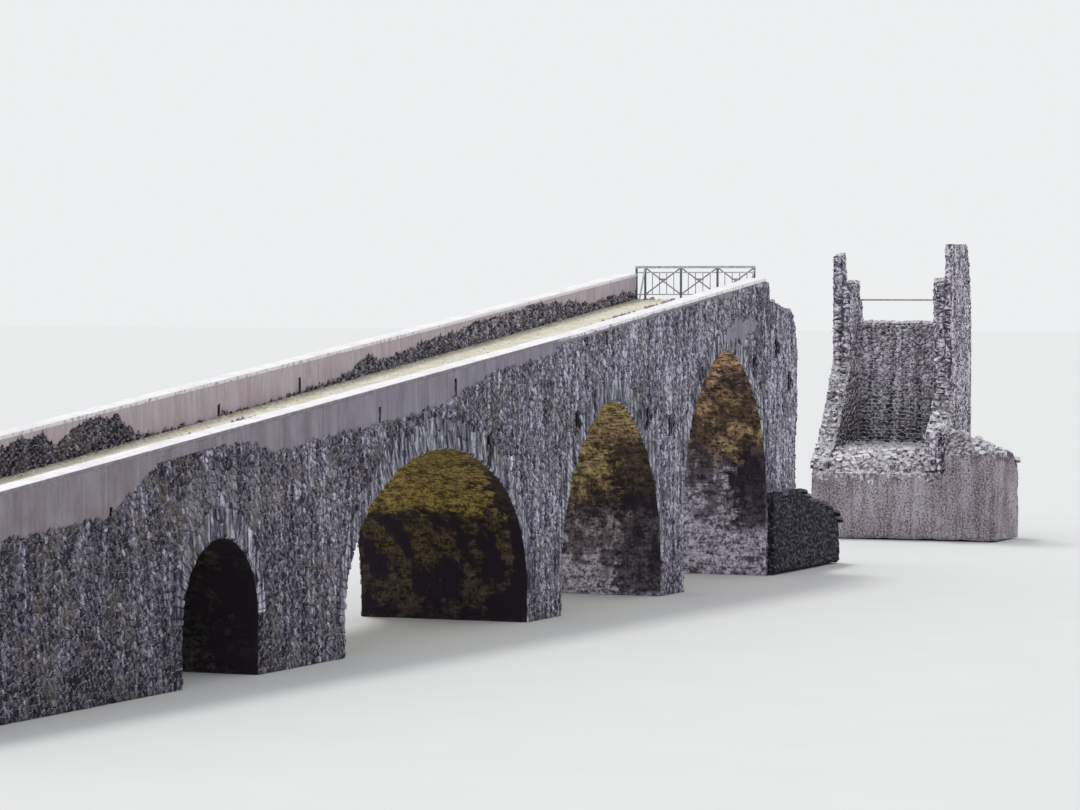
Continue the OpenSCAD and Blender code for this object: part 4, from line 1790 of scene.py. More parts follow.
class Parapets(Trade):
    """Coats of render on both parapets, and the stones where the coats have gone."""

    NEAR_EDGE = (
        (-5700, 0), (-4900, -4), (-4445, -26), (-4310, 26), (-4200, 74), (-4000, 72), (-3790, 57),
        (-3600, 4), (-3130, 2), (-2750, -10), (-2520, 5), (-2270, 39), (-1810, 44), (-1730, 82),
    )
    INNER_EDGE = (
        (-5700, 30), (-4800, 22), (-4300, 60), (-4130, 82), (-3930, 90), (-3870, 56), (-3710, 97),
        (-3550, 85), (-3410, 11), (-2800, 6), (-2460, 16), (-2230, 24), (-2030, 67), (-1990, 42),
        (-1750, 49), (-1300, 76), (-790, 84), (-370, 37), (45, 40),
    )
    DRAINS = ((-4442, -26, -2), (-2996, 3.4, 38), (-2509, 3.4, 52))
    DRAIN_W = 14

    def foot(self, points: Sequence[Flat], seed: float) -> Callable[[float], float]:
        """A ragged foot that follows the road, from distances and levels in millimetres."""
        line = RaggedLine(points, seed, 0.017)
        return lambda x: self.site.road(x) + line.level(x - self.site.end_x)

    def under_coping(self, side: Side) -> Callable[[float], float]:
        """The underside of a coping.

        Args:
            side: Which parapet.

        Returns:
            Its level at a place along the bridge.
        """
        name = side.name.lower()
        survey = Survey(f"{name}_coping")
        inset = self.site.parapet_t / 2
        y = self.site.face_y(side) - side.value * inset
        return lambda x: survey.underside(x, y)

    def holes(self) -> tuple[Hole, ...]:
        """The drains that pass through the parapets.

        Returns:
            Start, end, foot and top of each.
        """
        found = []
        for x, low, high in self.DRAINS:
            place = self.site.end_x + x * MM
            road = self.site.road(place)
            half = self.DRAIN_W * MM / 2
            found.append((place - half, place + half, road + low * MM, road + high * MM))
        return tuple(found)

    def coat(
        self, name: str, side: Side, inner: bool, start: float, end: float, points: Sequence[Flat],
    ) -> Coat:
        """Sets out one coat.

        Args:
            name: The piece's name.
            side: Which parapet.
            inner: Whether it faces the road.
            start: Where it starts, in millimetres from the broken end.
            end: Where it ends.
            points: Its ragged foot.

        Returns:
            The coat.
        """
        y = self.site.face_y(side)
        out = float(side.value)
        if inner:
            y -= side.value * self.site.parapet_t
            out = -out
        return Coat(
            name, y, out, self.site.end_x + start * MM, self.site.end_x + end * MM,
            self.foot(points, 3.1 * side.value + inner), self.under_coping(side), self.holes(),
        )

    def outer_coats(self, side: Side) -> list[Coat]:
        """The coats on a long face of the bridge, patches included.

        Args:
            side: Which long face.

        Returns:
            The coats.
        """
        name = side.name.lower()
        west = (self.site.west_x - self.site.end_x) / MM
        coats = [self.coat(f"{name}_render", side, False, west, -1729, self.NEAR_EDGE)]
        coats.append(self.patch(f"{name}_render_patch", side, -385, -78, -102, -28))
        edge = ((-452, 66), (-425, 46), (-385, 52), (-345, 46), (-318, 54))
        coats.append(self.coat(f"{name}_render_remnant", side, False, -452, -318, edge))
        return coats

    def patch(self, name: str, side: Side, x0: float, x1: float, low: float, high: float) -> Coat:
        """A thin patch of render smeared over the rubble.

        Args:
            name: The piece's name.
            side: Which long face.
            x0: Where it starts, in millimetres from the broken end.
            x1: Where it ends.
            low: Its foot over the road, in millimetres.
            high: Its top over the road.

        Returns:
            The coat.
        """
        road, end = self.site.road, self.site.end_x

        def bulge(x: float, sign: float) -> float:
            """Level of the patch's foot or top over the road.

            Args:
                x: Place along the bridge.
                sign: -1 for the foot and 1 for the top.

            Returns:
                The level.
            """
            share = clamp(((x - end) / MM - x0) / (x1 - x0)) * 2 - 1
            half = (high - low) / 2 * math.sqrt(max(1 - abs(share) ** 2.4, 0.0))
            worn = 0.020 * ripple(x * 21, sign) + 0.016 * ripple(x * 70, sign)
            return ((low + high) / 2 + sign * half) * MM + worn

        return Coat(
            name, self.site.face_y(side), float(side.value), end + x0 * MM, end + x1 * MM,
            lambda x: road(x) + bulge(x, -1), lambda x: road(x) + bulge(x, 1),
            thick=0.0040, rows=22, hiding=False,
        )

    def inner_face(self, side: Side) -> None:
        """Builds the face towards the road: coat above, rubble along its foot.

        Args:
            side: Which parapet.
        """
        name = side.name.lower()
        low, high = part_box(f"{name}_parapet_west")[0].x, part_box(f"{name}_parapet_east")[1].x
        end = (high - self.site.end_x) / MM
        west = (low - self.site.end_x) / MM
        coat = self.coat(f"{name}_inner_render", side, True, west, min(end - 12, 32), self.INNER_EDGE)
        finish = self.finishes.pink_coat if side is Side.FAR else self.finishes.coat
        coat.make(finish, "far_render" if side is Side.FAR else "near_render")
        backing = Survey(f"{name}_parapet_west", f"{name}_parapet_east")
        corner = Vector((low, coat.face_y, 0))
        face = Panel(corner, ALONG, Vector((0, coat.out, 0)), high - low, WALLS_H)
        mesh = StoneMesh(71 + side.value)
        bond = Bond(length=0.018, height=0.0125, proud=0.0036)
        free = lambda place: place.z < coat.foot(place.x) + 0.008
        RubbleMason(face, bond, backing, free, Tones(0.36, 0.2, 0.12)).lay(mesh)
        mesh.build(f"{name}_inner_rubble", self.finishes.rubble, "wall_rubble")


@dataclass
class Coping(Trade):
    """Cast coping of a parapet, worn round and chipped, in place of the plain slab."""

    side: Side
    overhang: float = 0.0046
    step: float = 0.009
    worn: float = 0.0022

    def section(self, x: float, low: float, high: float) -> list[Flat]:
        """Distances from the parapet's outer face, and levels, round the coping.

        Args:
            x: Place along the bridge.
            low: Level of its underside.
            high: Level of its top.

        Returns:
            The section's points, from the foot of its outer edge over the top.
        """
        wide = self.site.parapet_t
        seed = self.side.value * 5.0
        points = []
        for out, sign, key in ((-self.overhang, 1, 0.0), (wide + self.overhang, -1, 9.0)):
            chip = clamp(ripple(x * 45, seed + key) * 2.2 - 0.7)
            waver = 0.0011 * ripple(x * 18, seed + key) + 0.0006 * ripple(x * 140, seed + key)
            worn = self.worn * (0.55 + 0.9 * chip)
            edge = [
                (out + sign * 0.0012, low - 0.0016), (out + waver, low + 0.0012),
                (out + waver, high - worn), (out + sign * worn * 0.35 + waver, high - worn * 0.35),
                (out + sign * worn + waver, high - 0.0002),
            ]
            points += edge if sign > 0 else reversed(edge)
        crown = high + 0.0002 + 0.0006 * ripple(x * 12, seed) + 0.0005 * ripple(x * 90, seed)
        points[5:5] = [(wide * 0.3, crown), (wide * 0.5, crown + 0.0004), (wide * 0.7, crown)]
        return points

    def build(self) -> None:
        """Lofts the coping along its parapet."""
        name = self.side.name.lower()
        survey = Survey(f"{name}_coping")
        low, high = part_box(f"{name}_coping")
        y = self.site.face_y(self.side)
        mid = y - self.side.value * self.site.parapet_t / 2
        count = round((high.x - low.x) / self.step)
        points: list[Vector] = []
        for k in range(count + 1):
            x = low.x + 0.0004 + (high.x - low.x - 0.0008) * k / count
            bottom, top = survey.underside(x, mid), survey.drop(x, mid)
            end = clamp((high.x - x) / 0.02)
            top -= (1 - end) ** 2 * 0.005
            for off, z in self.section(x, bottom, top):
                points.append(Vector((x, y - self.side.value * off, z)))
        size = len(points) // (count + 1)
        faces = []
        for k in range(count):
            for j in range(size):
                a, b = k * size + j, k * size + (j + 1) % size
                loop = (a, a + size, b + size, b)
                faces.append(loop if self.side is Side.NEAR else tuple(reversed(loop)))
        first = tuple(range(size))
        last = tuple(count * size + j for j in range(size))
        ends = (first, tuple(reversed(last)))
        faces += ends if self.side is Side.NEAR else [tuple(reversed(e)) for e in ends]
        piece = place_mesh(f"{name}_coping_worn", points, faces, self.finishes.coping, "coping", smooth=True)
        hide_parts(f"{name}_coping")


@dataclass
class Roadway(Trade):
    """Gravelled road with worn tracks, and loose stones along the parapets."""

    step: float = 0.011
    pebbles: int = 1000

    RUT_AT = 0.42
    RUT_W = 0.16
    VERGE_AT = 0.72
    VERGE_W = 0.28
    LIFTS = (0.0038, 0.0016, 0.0018, 0.0042)
    PEBBLE_SIZES = (0.003, 0.008)
    NEAR_PARAPETS = 0.6

    def lift(self, x: float, share: float) -> float:
        """How far the gravel stands over the road.

        Args:
            x: Place along the bridge.
            share: Place across the road, from 0 to 1.

        Returns:
            The lift.
        """
        across = abs(share - 0.5) * 2
        rut = math.exp(-((across - self.RUT_AT) / self.RUT_W) ** 2)
        verge = max(across - self.VERGE_AT, 0) / self.VERGE_W
        layers = ((0.5, 14, 6), (0.4, 60, 26), (0.25, 170, 70))
        lumps = sum(part * ripple(x * along, share * wide) for part, along, wide in layers)
        bed, lumpy, sunk, heaped = self.LIFTS
        return bed + lumpy * lumps - sunk * rut + heaped * verge ** 1.5

    def build(self) -> None:
        """Builds the gravel bed and scatters the loose stones."""
        site = self.site
        y0, y1 = site.near_y + site.parapet_t, site.far_y - site.parapet_t
        along = round((site.tip_x - site.west_x) / self.step)
        across = round((y1 - y0) / self.step)
        points = []
        for i in range(along + 1):
            x = site.west_x + (site.tip_x - site.west_x) * i / along
            for j in range(across + 1):
                share = j / across
                rim = i in (0, along)
                lift = -0.0005 if rim else self.lift(x, share)
                points.append(Vector((x, y0 + (y1 - y0) * share, site.road(x) + lift)))
        faces = net(along, across + 1, flipped=True)
        place_mesh("road_gravel", points, faces, self.finishes.gravel, "road", smooth=True)
        self.scatter(y0, y1)

    def scatter(self, y0: float, y1: float) -> None:
        """Lays loose stones, most of them near the parapets.

        Args:
            y0: Near edge of the road.
            y1: Far edge of the road.
        """
        mesh = StoneMesh(303)
        rng = mesh.rng
        for _ in range(self.pebbles):
            x = rng.uniform(self.site.west_x + 0.01, self.site.tip_x - 0.02)
            share = rng.random()
            if rng.random() < self.NEAR_PARAPETS:
                share = rng.choice((0, 1)) + rng.choice((-1, 1)) * rng.random() ** 2 * 0.16
                share = clamp(abs(share) if share < 0.5 else min(share, 2 - share), 0.02, 0.98)
            z = self.site.road(x) + self.lift(x, share) - 0.0018
            size = rng.uniform(*self.PEBBLE_SIZES)
            mark = (clamp(rng.gauss(0.75, 0.18)), 0.0, 0.0)
            mesh.lump(Vector((x, y0 + (y1 - y0) * share, z)), size, mark)
        mesh.build("road_loose_stones", self.finishes.gravel, "road")


class RiverEnd(Trade):
    """Torn masonry where the river arch broke away from the last pier."""

    FOOT_Z = 0.24
    RAYS = 47
    FIRST_RAY = -58
    RAY_STEP = 3.5

    def line(self) -> list[Flat]:
        """The torn edge in the side view, from the pier's foot up and back to the road.

        Returns:
            Places along X and Z.
        """
        core = Survey("core_fill_4")
        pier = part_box("pier_d")[1]
        start = Vector((self.site.tip_x + 0.09, self.site.mid_y, 0.6))
        found: list[Flat] = []
        for k in range(self.RAYS):
            angle = math.radians(self.FIRST_RAY + self.RAY_STEP * k)
            spot = core.meet(start, Vector((math.cos(angle), 0, math.sin(angle))))
            if spot and spot.z > pier.z + 0.004:
                found.append((spot.x, spot.z))
        return [(pier.x, self.FOOT_Z), (pier.x, pier.z), *found]

    def build(self) -> None:
        """Lays torn stones over the broken face, and the stumps of the parapets."""
        barrel = Barrel(self.line(), self.site.near_y + 0.002, self.site.far_y - 0.002)
        bond = Bond(length=0.024, height=0.0165, joint=0.002, proud=0.0085, rough=0.85, inset=0.7)
        mesh = StoneMesh(401)
        RubbleMason(barrel, bond, weather=self.pale_top).lay(mesh)
        mesh.build("river_end_stones", self.finishes.broken, "core_fill")
        self.parapet_ends()

    def pale_top(self, place: Vector, rng: Random) -> Mark:
        """Tones of the torn stones, darker towards the foot."""
        shade = clamp((place.z - 0.25) / 0.4)
        return (clamp(rng.gauss(0.4 + 0.2 * shade, 0.2)), 0.0, 0.0)

    def parapet_ends(self) -> None:
        """Roughens the broken ends of both parapets."""
        mesh = StoneMesh(409)
        for side in Side:
            name = side.name.lower()
            survey = Survey(f"{name}_parapet_east")
            low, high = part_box(f"{name}_parapet_east")
            y0, y1 = low.y + 0.001, high.y - 0.001
            line = []
            foot = self.site.road(self.site.end_x)
            for k in range(13):
                z = foot + 0.004 + (high.z - foot - 0.008) * k / 12
                spot = survey.meet(Vector((high.x + 0.2, (y0 + y1) / 2, z)), Vector((-1, 0, 0)))
                if spot:
                    line.append((spot.x, z))
            bond = Bond(length=0.020, height=0.015, proud=0.008, rough=0.8, inset=0.7)
            Mason(Barrel(line, y0, y1), bond, weather=self.pale_top).lay(mesh)
        mesh.build("parapet_end_stones", self.finishes.broken, "wall_rubble")


@dataclass
class WornMass:
    """Packed blocks, remeshed as one and worn inwards, in place of the plain ones."""

    nodes: tuple[str, ...]
    name: str
    voxel: float
    depth: float
    grain: float
    edge: float
    stones: float = 0.03
    bulge: float = 0.0
    crust: float = 0.0

    def remeshed(self) -> bpy.types.Mesh:
        """The blocks as one mesh of small even faces.

        Returns:
            The new mesh.
        """
        gathered = bmesh.new()
        for node in self.nodes:
            gathered.from_mesh(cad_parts[node].data)
        solid = bpy.data.meshes.new(self.name)
        gathered.to_mesh(solid)
        gathered.free()
        rough = bpy.data.objects.new(self.name, solid)
        bpy.context.scene.collection.objects.link(rough)
        rough.modifiers.new("weld", "WELD").merge_threshold = 0.0001
        remesh = rough.modifiers.new("remesh", "REMESH")
        remesh.mode = "VOXEL"
        remesh.voxel_size = self.voxel
        graph = bpy.context.evaluated_depsgraph_get()
        worn = bpy.data.meshes.new_from_object(rough.evaluated_get(graph))
        bpy.data.objects.remove(rough)
        bpy.data.meshes.remove(solid)
        return worn

    def build(self, material: Material, slot: str) -> None:
        """Wears the block.

        Args:
            material: Its finish.
            slot: Not used; it is passed on to place_mesh, which ignores it.
        """
        worn = self.remeshed()
        boxes = [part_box(node) for node in self.nodes]
        low = [min(box[0][k] for box in boxes) for k in range(3)]
        high = [max(box[1][k] for box in boxes) for k in range(3)]
        survey = Survey(*self.nodes)
        points, tones, crusts = [], [], []
        for vertex in worn.vertices:
            p, n = vertex.co, vertex.normal
            wide = 0.5 + 0.5 * noise.fractal(p * self.grain, 0.8, 2.0, 4)
            fine = 0.5 + 0.5 * ripple(p.x * 130, p.y * 130, p.z * 130)
            sharp = self.edge * max(abs(n.x) + abs(n.y) + abs(n.z) - 1.05, 0)
            apart, spots = noise.voronoi(Vector((p.x, p.y, p.z * 1.5)) / self.stones)
            joint = 1 - clamp((apart[1] - apart[0]) * 3)
            tones.append(0.55 + 0.4 * ripple(*(spots[0] * 5.3)) - 0.5 * joint)
            gap = self.bulge * joint
            if self.crust:
                gap *= 0.3 + 0.7 * clamp(n.z * 3)
                crusts.append(self.crusted(p, survey.drop(p.x - n.x * 0.014, p.y - n.y * 0.014)))
            torn = 1 + 0.4 * max(n.z, 0.0)
            deep = self.depth * torn * (0.75 * wide + 0.25 * fine) + sharp * (0.3 + 1.2 * wide) + gap
            moved = p - n * deep
            points.append(Vector([clamp(moved[k], low[k], high[k]) for k in range(3)]))
        faces = [tuple(f.vertices) for f in worn.polygons]
        bpy.data.meshes.remove(worn)
        readings = {"tone": tones, "crust": crusts} if crusts else {"tone": tones}
        piece = place_mesh(self.name, points, faces, material, slot, smooth=True, **readings)
        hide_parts(*self.nodes)

    def crusted(self, p: Vector, top: float) -> float:
        """How much of the stony crust shows at a place below a top."""
        deep = self.crust * (1 + 0.9 * ripple(p.x * 18, p.y * 18, p.z * 8) + 0.4 * ripple(p.x * 70, p.y * 70))
        return clamp(0.5 + (deep - (top - p.z)) / 0.008)


@dataclass
class FarPier(Trade):
    """What is left of the far pier: two side walls, the wall between them and their base."""

    bond: Bond = Bond(length=0.018, height=0.0165, joint=0.0010, proud=0.0036)
    coursed: Bond = Bond(
        length=0.021, height=0.0145, joint=0.0014, proud=0.0046, inset=0.7, loose=0.32, merged=0.08,
    )
    torn: Bond = Bond(length=0.031, height=0.0175, joint=0.0006, proud=0.0150, rough=0.95, merged=0.2)
    bright: Tones = Tones(0.74, 0.17)
    fallen: int = 420

    TOP_STONES = (0.014, 0.026)
    FALLEN_STONES = (0.010, 0.026)

    def pale(self, place: Vector, rng: Random) -> Mark:
        """Tones of the ruin's stones, dark low down in the chamber."""
        shade = clamp((place.z - 0.3) / 0.3) * 0.12
        return (clamp(rng.gauss(0.42 + shade, 0.14)), 0.0, 0.0)

    def crumbled(self, place: Vector, rng: Random) -> Mark:
        """Tones of the torn edges, bleached where they run out on the base.

        Args:
            place: Where the stone lies.
            rng: Random numbers to choose by.

        Returns:
            Its tone, lime, and soot and shade.
        """
        tone, lime, soot_and_shade = self.pale(place, rng)
        foot = clamp((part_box("ruin_base")[1].z + 0.11 - place.z) / 0.06)
        return (clamp(tone + 0.07 + 0.36 * foot), lime, soot_and_shade)

    def chamber_shade(self, place: Vector, rng: Random) -> Mark:
        """Tones of the stones inside the chamber, with painted shade that darkens them towards its floor."""
        tone, lime, _ = self.pale(place, rng)
        return (tone, lime, 0.6 * clamp((0.64 + 0.03 * ripple(place.y * 20, place.z * 20) - place.z) / 0.2))

    def walls(self) -> None:
        """Lays rubble on the flat faces of the side walls, and courses on the wall between."""
        for node in ("ruin_near_wall", "ruin_far_wall"):
            survey = Survey(node)
            low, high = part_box(node)
            size = high - low
            mesh = StoneMesh(len(node) * 31)
            for y, way in self.levels_of(survey, low, high):
                face = Panel(Vector((low.x, y, low.z)), ALONG, Vector((0, way, 0)), size.x, size.z)
                stepped = (y + low.y + high.y) * way < 0 and low.y < y < high.y
                inward = stepped or (node == "ruin_near_wall") == (way > 0)
                RubbleMason(face, self.bond, survey, weather=self.chamber_shade if inward else self.pale).lay(mesh)
            face = Panel(Vector((high.x, low.y, low.z)), ACROSS, ALONG, size.y, size.z)
            RubbleMason(face, self.bond, survey, weather=self.pale).lay(mesh)
            mesh.build(f"{node}_stones", self.finishes.ruin, "ruin_rubble_stone")
        low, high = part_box("ruin_back_wall")
        size = high - low
        mesh = StoneMesh(523)
        for x, way in ((low.x, -1.0), (high.x, 1.0)):
            face = Panel(Vector((x, low.y, low.z)), ACROSS, Vector((way, 0, 0)), size.y, size.z)
            weather = self.chamber_shade if way < 0 else self.pale
            RubbleMason(face, self.coursed, Survey("ruin_back_wall"), weather=weather).lay(mesh)
        mesh.build("ruin_back_wall_stones", self.finishes.ruin, "ruin_rubble_stone")

    def levels_of(self, survey: Survey, low: Vector, high: Vector) -> list[tuple[float, float]]:
        """The depths at which a side wall has faces, each with the way it looks.

        Args:
            survey: The wall.
            low: Its lowest corner.
            high: Its highest corner.

        Returns:
            The depths along Y.
        """
        found = [(low.y, -1.0), (high.y, 1.0)]
        for way in (-1.0, 1.0):
            y = low.y - 0.1 if way < 0 else high.y + 0.1
            for k in range(12):
                x = low.x + (high.x - low.x) * (k + 0.5) / 12
                spot = survey.meet(Vector((x, y, high.z - 0.02)), Vector((0, -way, 0)))
                if spot and min(abs(spot.y - low.y), abs(spot.y - high.y)) > 0.002:
                    found.append((spot.y, way))
                    break
        return found

    def front_line(self, node: str, y: float) -> list[Flat]:
        """The broken front edge of a side wall, from its top down.

        Args:
            node: The wall.
            y: The depth at which it is read.

        Returns:
            Places along X and Z.
        """
        survey = Survey(node)
        low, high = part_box(node)
        line = []
        for k in range(60):
            z = high.z - 0.004 - (high.z - low.z - 0.006) * k / 59
            spot = survey.meet(Vector((low.x - 0.3, y, z)), Vector((1, 0, 0)))
            if spot:
                line.append((spot.x, z))
        return line

    def torn_edges(self) -> None:
        """Lays torn stones down the front edges of both side walls."""
        mesh = StoneMesh(509)
        for node in ("ruin_near_wall", "ruin_far_wall"):
            low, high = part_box(node)
            for y0, y1 in self.strips(node, low, high):
                line = self.front_line(node, (y0 + y1) / 2)
                RubbleMason(Barrel(line, y0, y1), self.torn, weather=self.crumbled).lay(mesh)
        mesh.build("ruin_torn_edges", self.finishes.ruin, "ruin_rubble_stone")

    def strips(self, node: str, low: Vector, high: Vector) -> list[Flat]:
        """The parts of a wall's thickness that reach the same height.

        Args:
            node: The wall.
            low: Its lowest corner.
            high: Its highest corner.

        Returns:
            Start and end of each along Y.
        """
        steps = [y for y, _ in self.levels_of(Survey(node), low, high)[2:]]
        cuts = sorted([low.y, *steps, high.y])
        return [(a + 0.001, b - 0.001) for a, b in zip(cuts, cuts[1:]) if b - a > 0.008]

    def tops(self) -> None:
        """Lays bleached stones on the broken tops, where there is room under the highest point."""
        mesh = StoneMesh(521)
        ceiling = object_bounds()[1].z
        for node in ("ruin_near_wall", "ruin_far_wall", "ruin_back_wall"):
            survey = Survey(node)
            low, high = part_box(node)
            for x, y in self.grid(low, high, mesh.rng):
                z = survey.drop(x, y)
                if z < low.z + 0.05 or z > ceiling - 0.03:
                    continue
                size = mesh.rng.uniform(*self.TOP_STONES)
                mesh.lump(Vector((x, y, z - 0.004)), size, self.bright(Vector((x, y, z)), mesh.rng))
        mesh.build("ruin_top_stones", self.finishes.ruin, "ruin_rubble_stone")

    @staticmethod
    def grid(low: Vector, high: Vector, rng: Random, step: float = 0.016) -> Iterator[Flat]:
        """Places over a block's plan, each a little off its grid.

        Args:
            low: The block's lowest corner.
            high: Its highest corner.
            rng: Random numbers to place by.
            step: Distance between two places.

        Yields:
            Each place.
        """
        x = low.x + step * 0.6
        while x < high.x - step * 0.4:
            y = low.y + step * 0.6
            while y < high.y - step * 0.4:
                yield x + rng.uniform(-0.3, 0.3) * step, y + rng.uniform(-0.3, 0.3) * step
                y += step
            x += step

    def floor(self) -> None:
        """Fills the chamber's floor and the base's rim with fallen stones."""
        mesh = StoneMesh(541)
        rubble = Survey("ruin_rubble", "ruin_base")
        low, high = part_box("ruin_base")
        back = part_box("ruin_back_wall")[0].x
        rng = mesh.rng
        for _ in range(self.fallen):
            x = rng.uniform(low.x + 0.012, back)
            y = rng.uniform(low.y + 0.012, high.y - 0.012)
            z = rubble.drop(x, y)
            size = rng.uniform(*self.FALLEN_STONES)
            mesh.lump(Vector((x, y, z - 0.5 * size - 0.003)), size, self.bright(Vector((x, y, z)), rng))
        mesh.build("ruin_fallen_stones", self.finishes.ruin, "ruin_rubble_stone")

    def base_top(self, nodes: tuple[str, ...]) -> None:
        """Lays rough pale rubble over the broken top of the base.

        Args:
            nodes: The solids of the base.
        """
        mesh = StoneMesh(547)
        bond = Bond(length=0.030, height=0.022, proud=0.0, rough=0.9, inset=0.8, sunk=0.016)
        broken = lambda place, normal: normal.z > 0.2 and ripple(place.x * 13, place.y * 13) > 0.0
        for node in nodes:
            mesh.clad(node, bond, broken, self.bright)
        mesh.build("ruin_base_rubble", self.finishes.ruin, "ruin_base_stone")

    def build(self) -> None:
        """Builds the whole ruin."""
        self.walls()
        self.torn_edges()
        self.tops()
        self.floor()
        coat = self.finishes.base_coat
        base = ("ruin_base", "ruin_cutwater", "ruin_rubble")
        worn = WornMass(
            base, "ruin_base_worn", voxel=0.0062, depth=0.009, grain=17, edge=0.016,
            stones=0.024, bulge=0.0045, crust=0.036,
        )
        worn.build(coat, "ruin_base_stone")
        self.base_top(base)


class Footing(Trade):
    """Dark footing of the broken pier, a heap of uncoursed stones."""

    def build(self) -> None:
        """Wears the footing down to its uneven stones."""
        worn = WornMass(
            ("river_footing",), "river_footing_worn", voxel=0.0068, depth=0.004, grain=9, edge=0.006,
            stones=0.019, bulge=0.0045,
        )
        worn.build(self.finishes.footing, "pier_stone")
        mesh = StoneMesh(601)
        bond = Bond(length=0.032, height=0.024, proud=0.002, rough=0.9, inset=0.8, sunk=0.010)
        mesh.clad("river_footing", bond, lambda place, normal: normal.z > 0.2, Tones(0.5, 0.3))
        mesh.build("river_footing_stones", self.finishes.footing, "pier_stone")


@dataclass
class Railing(Trade):
    """Thin bars of the railing across the road that are finer than its frame."""

    bar: float = 0.0024
    stay: float = 0.0062
    bays: int = 5

    SIDES = 8
    NARROW = 0.05
    CROSS_AT = 0.58
    CROSS_BAR = 0.12
    FOOT_W = 0.016
    STAY_LEAN = 0.058

    def rod(self, points: list[Vector], faces: Faces, a: Vector, b: Vector, wide: float) -> None:
        """Adds a round bar.

        Args:
            points: Points gathered so far.
            faces: Faces gathered so far.
            a: Where it starts.
            b: Where it ends.
            wide: Its diameter.
        """
        way = (b - a).normalized()
        side = way.orthogonal().normalized()
        other = way.cross(side)
        start = len(points)
        count = self.SIDES
        for end in (a, b):
            for k in range(count):
                angle = math.tau * k / count
                points.append(end + (side * math.cos(angle) + other * math.sin(angle)) * wide / 2)
        high = start + count
        for k in range(count):
            n = (k + 1) % count
            faces.append((start + k, start + n, high + n, high + k))
        faces.append(tuple(high - 1 - k for k in range(count)))
        faces.append(tuple(high + k for k in range(count)))

    def posts(self) -> list[float]:
        """Middles of the posts across the road.

        Returns:
            The middles along Y.
        """
        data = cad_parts["railing_posts"].data
        places = sorted({round(v.co.y, 4) for v in data.vertices})
        return [(a + b) / 2 for a, b in zip(places[::2], places[1::2])]

    def build(self) -> None:
        """Builds the balusters, the short bars in the crosses, the feet and the stays."""
        low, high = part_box("railing_braces")
        posts_low, posts_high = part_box("railing_posts")
        x = (posts_low.x + posts_high.x) / 2
        middles = self.posts()
        thin: tuple[list[Vector], Faces] = ([], [])
        for a, b in zip(middles, middles[1:]):
            if b - a < self.NARROW:
                continue
            for k in range(1, self.bays):
                y = a + (b - a) * k / self.bays
                self.rod(*thin, Vector((x, y, low.z)), Vector((x, y, high.z - 0.014)), self.bar)
            level = low.z + (high.z - low.z) * self.CROSS_AT
            half = (b - a) * self.CROSS_BAR
            middle = (a + b) / 2
            ends = [Vector((x, middle + way * half, level)) for way in (-1, 1)]
            self.rod(*thin, *ends, self.bar * 1.6)
        for y in middles:
            foot = self.site.road(x) + 0.004
            self.rod(*thin, Vector((x, y, foot - 0.002)), Vector((x, y, foot + 0.005)), self.FOOT_W)
        place_mesh("railing_balusters", *thin, self.finishes.steel, "railing_paint")
        pale: tuple[list[Vector], Faces] = ([], [])
        top = posts_high.z - 0.004
        for y in (middles[0], middles[-2]):
            head = Vector((x - 0.004, y, top))
            foot_x = x - self.STAY_LEAN
            self.rod(*pale, head, Vector((foot_x, y, self.site.road(foot_x) + 0.001)), self.stay)
        place_mesh("railing_stays", *pale, self.finishes.top_rail, "railing_paint")


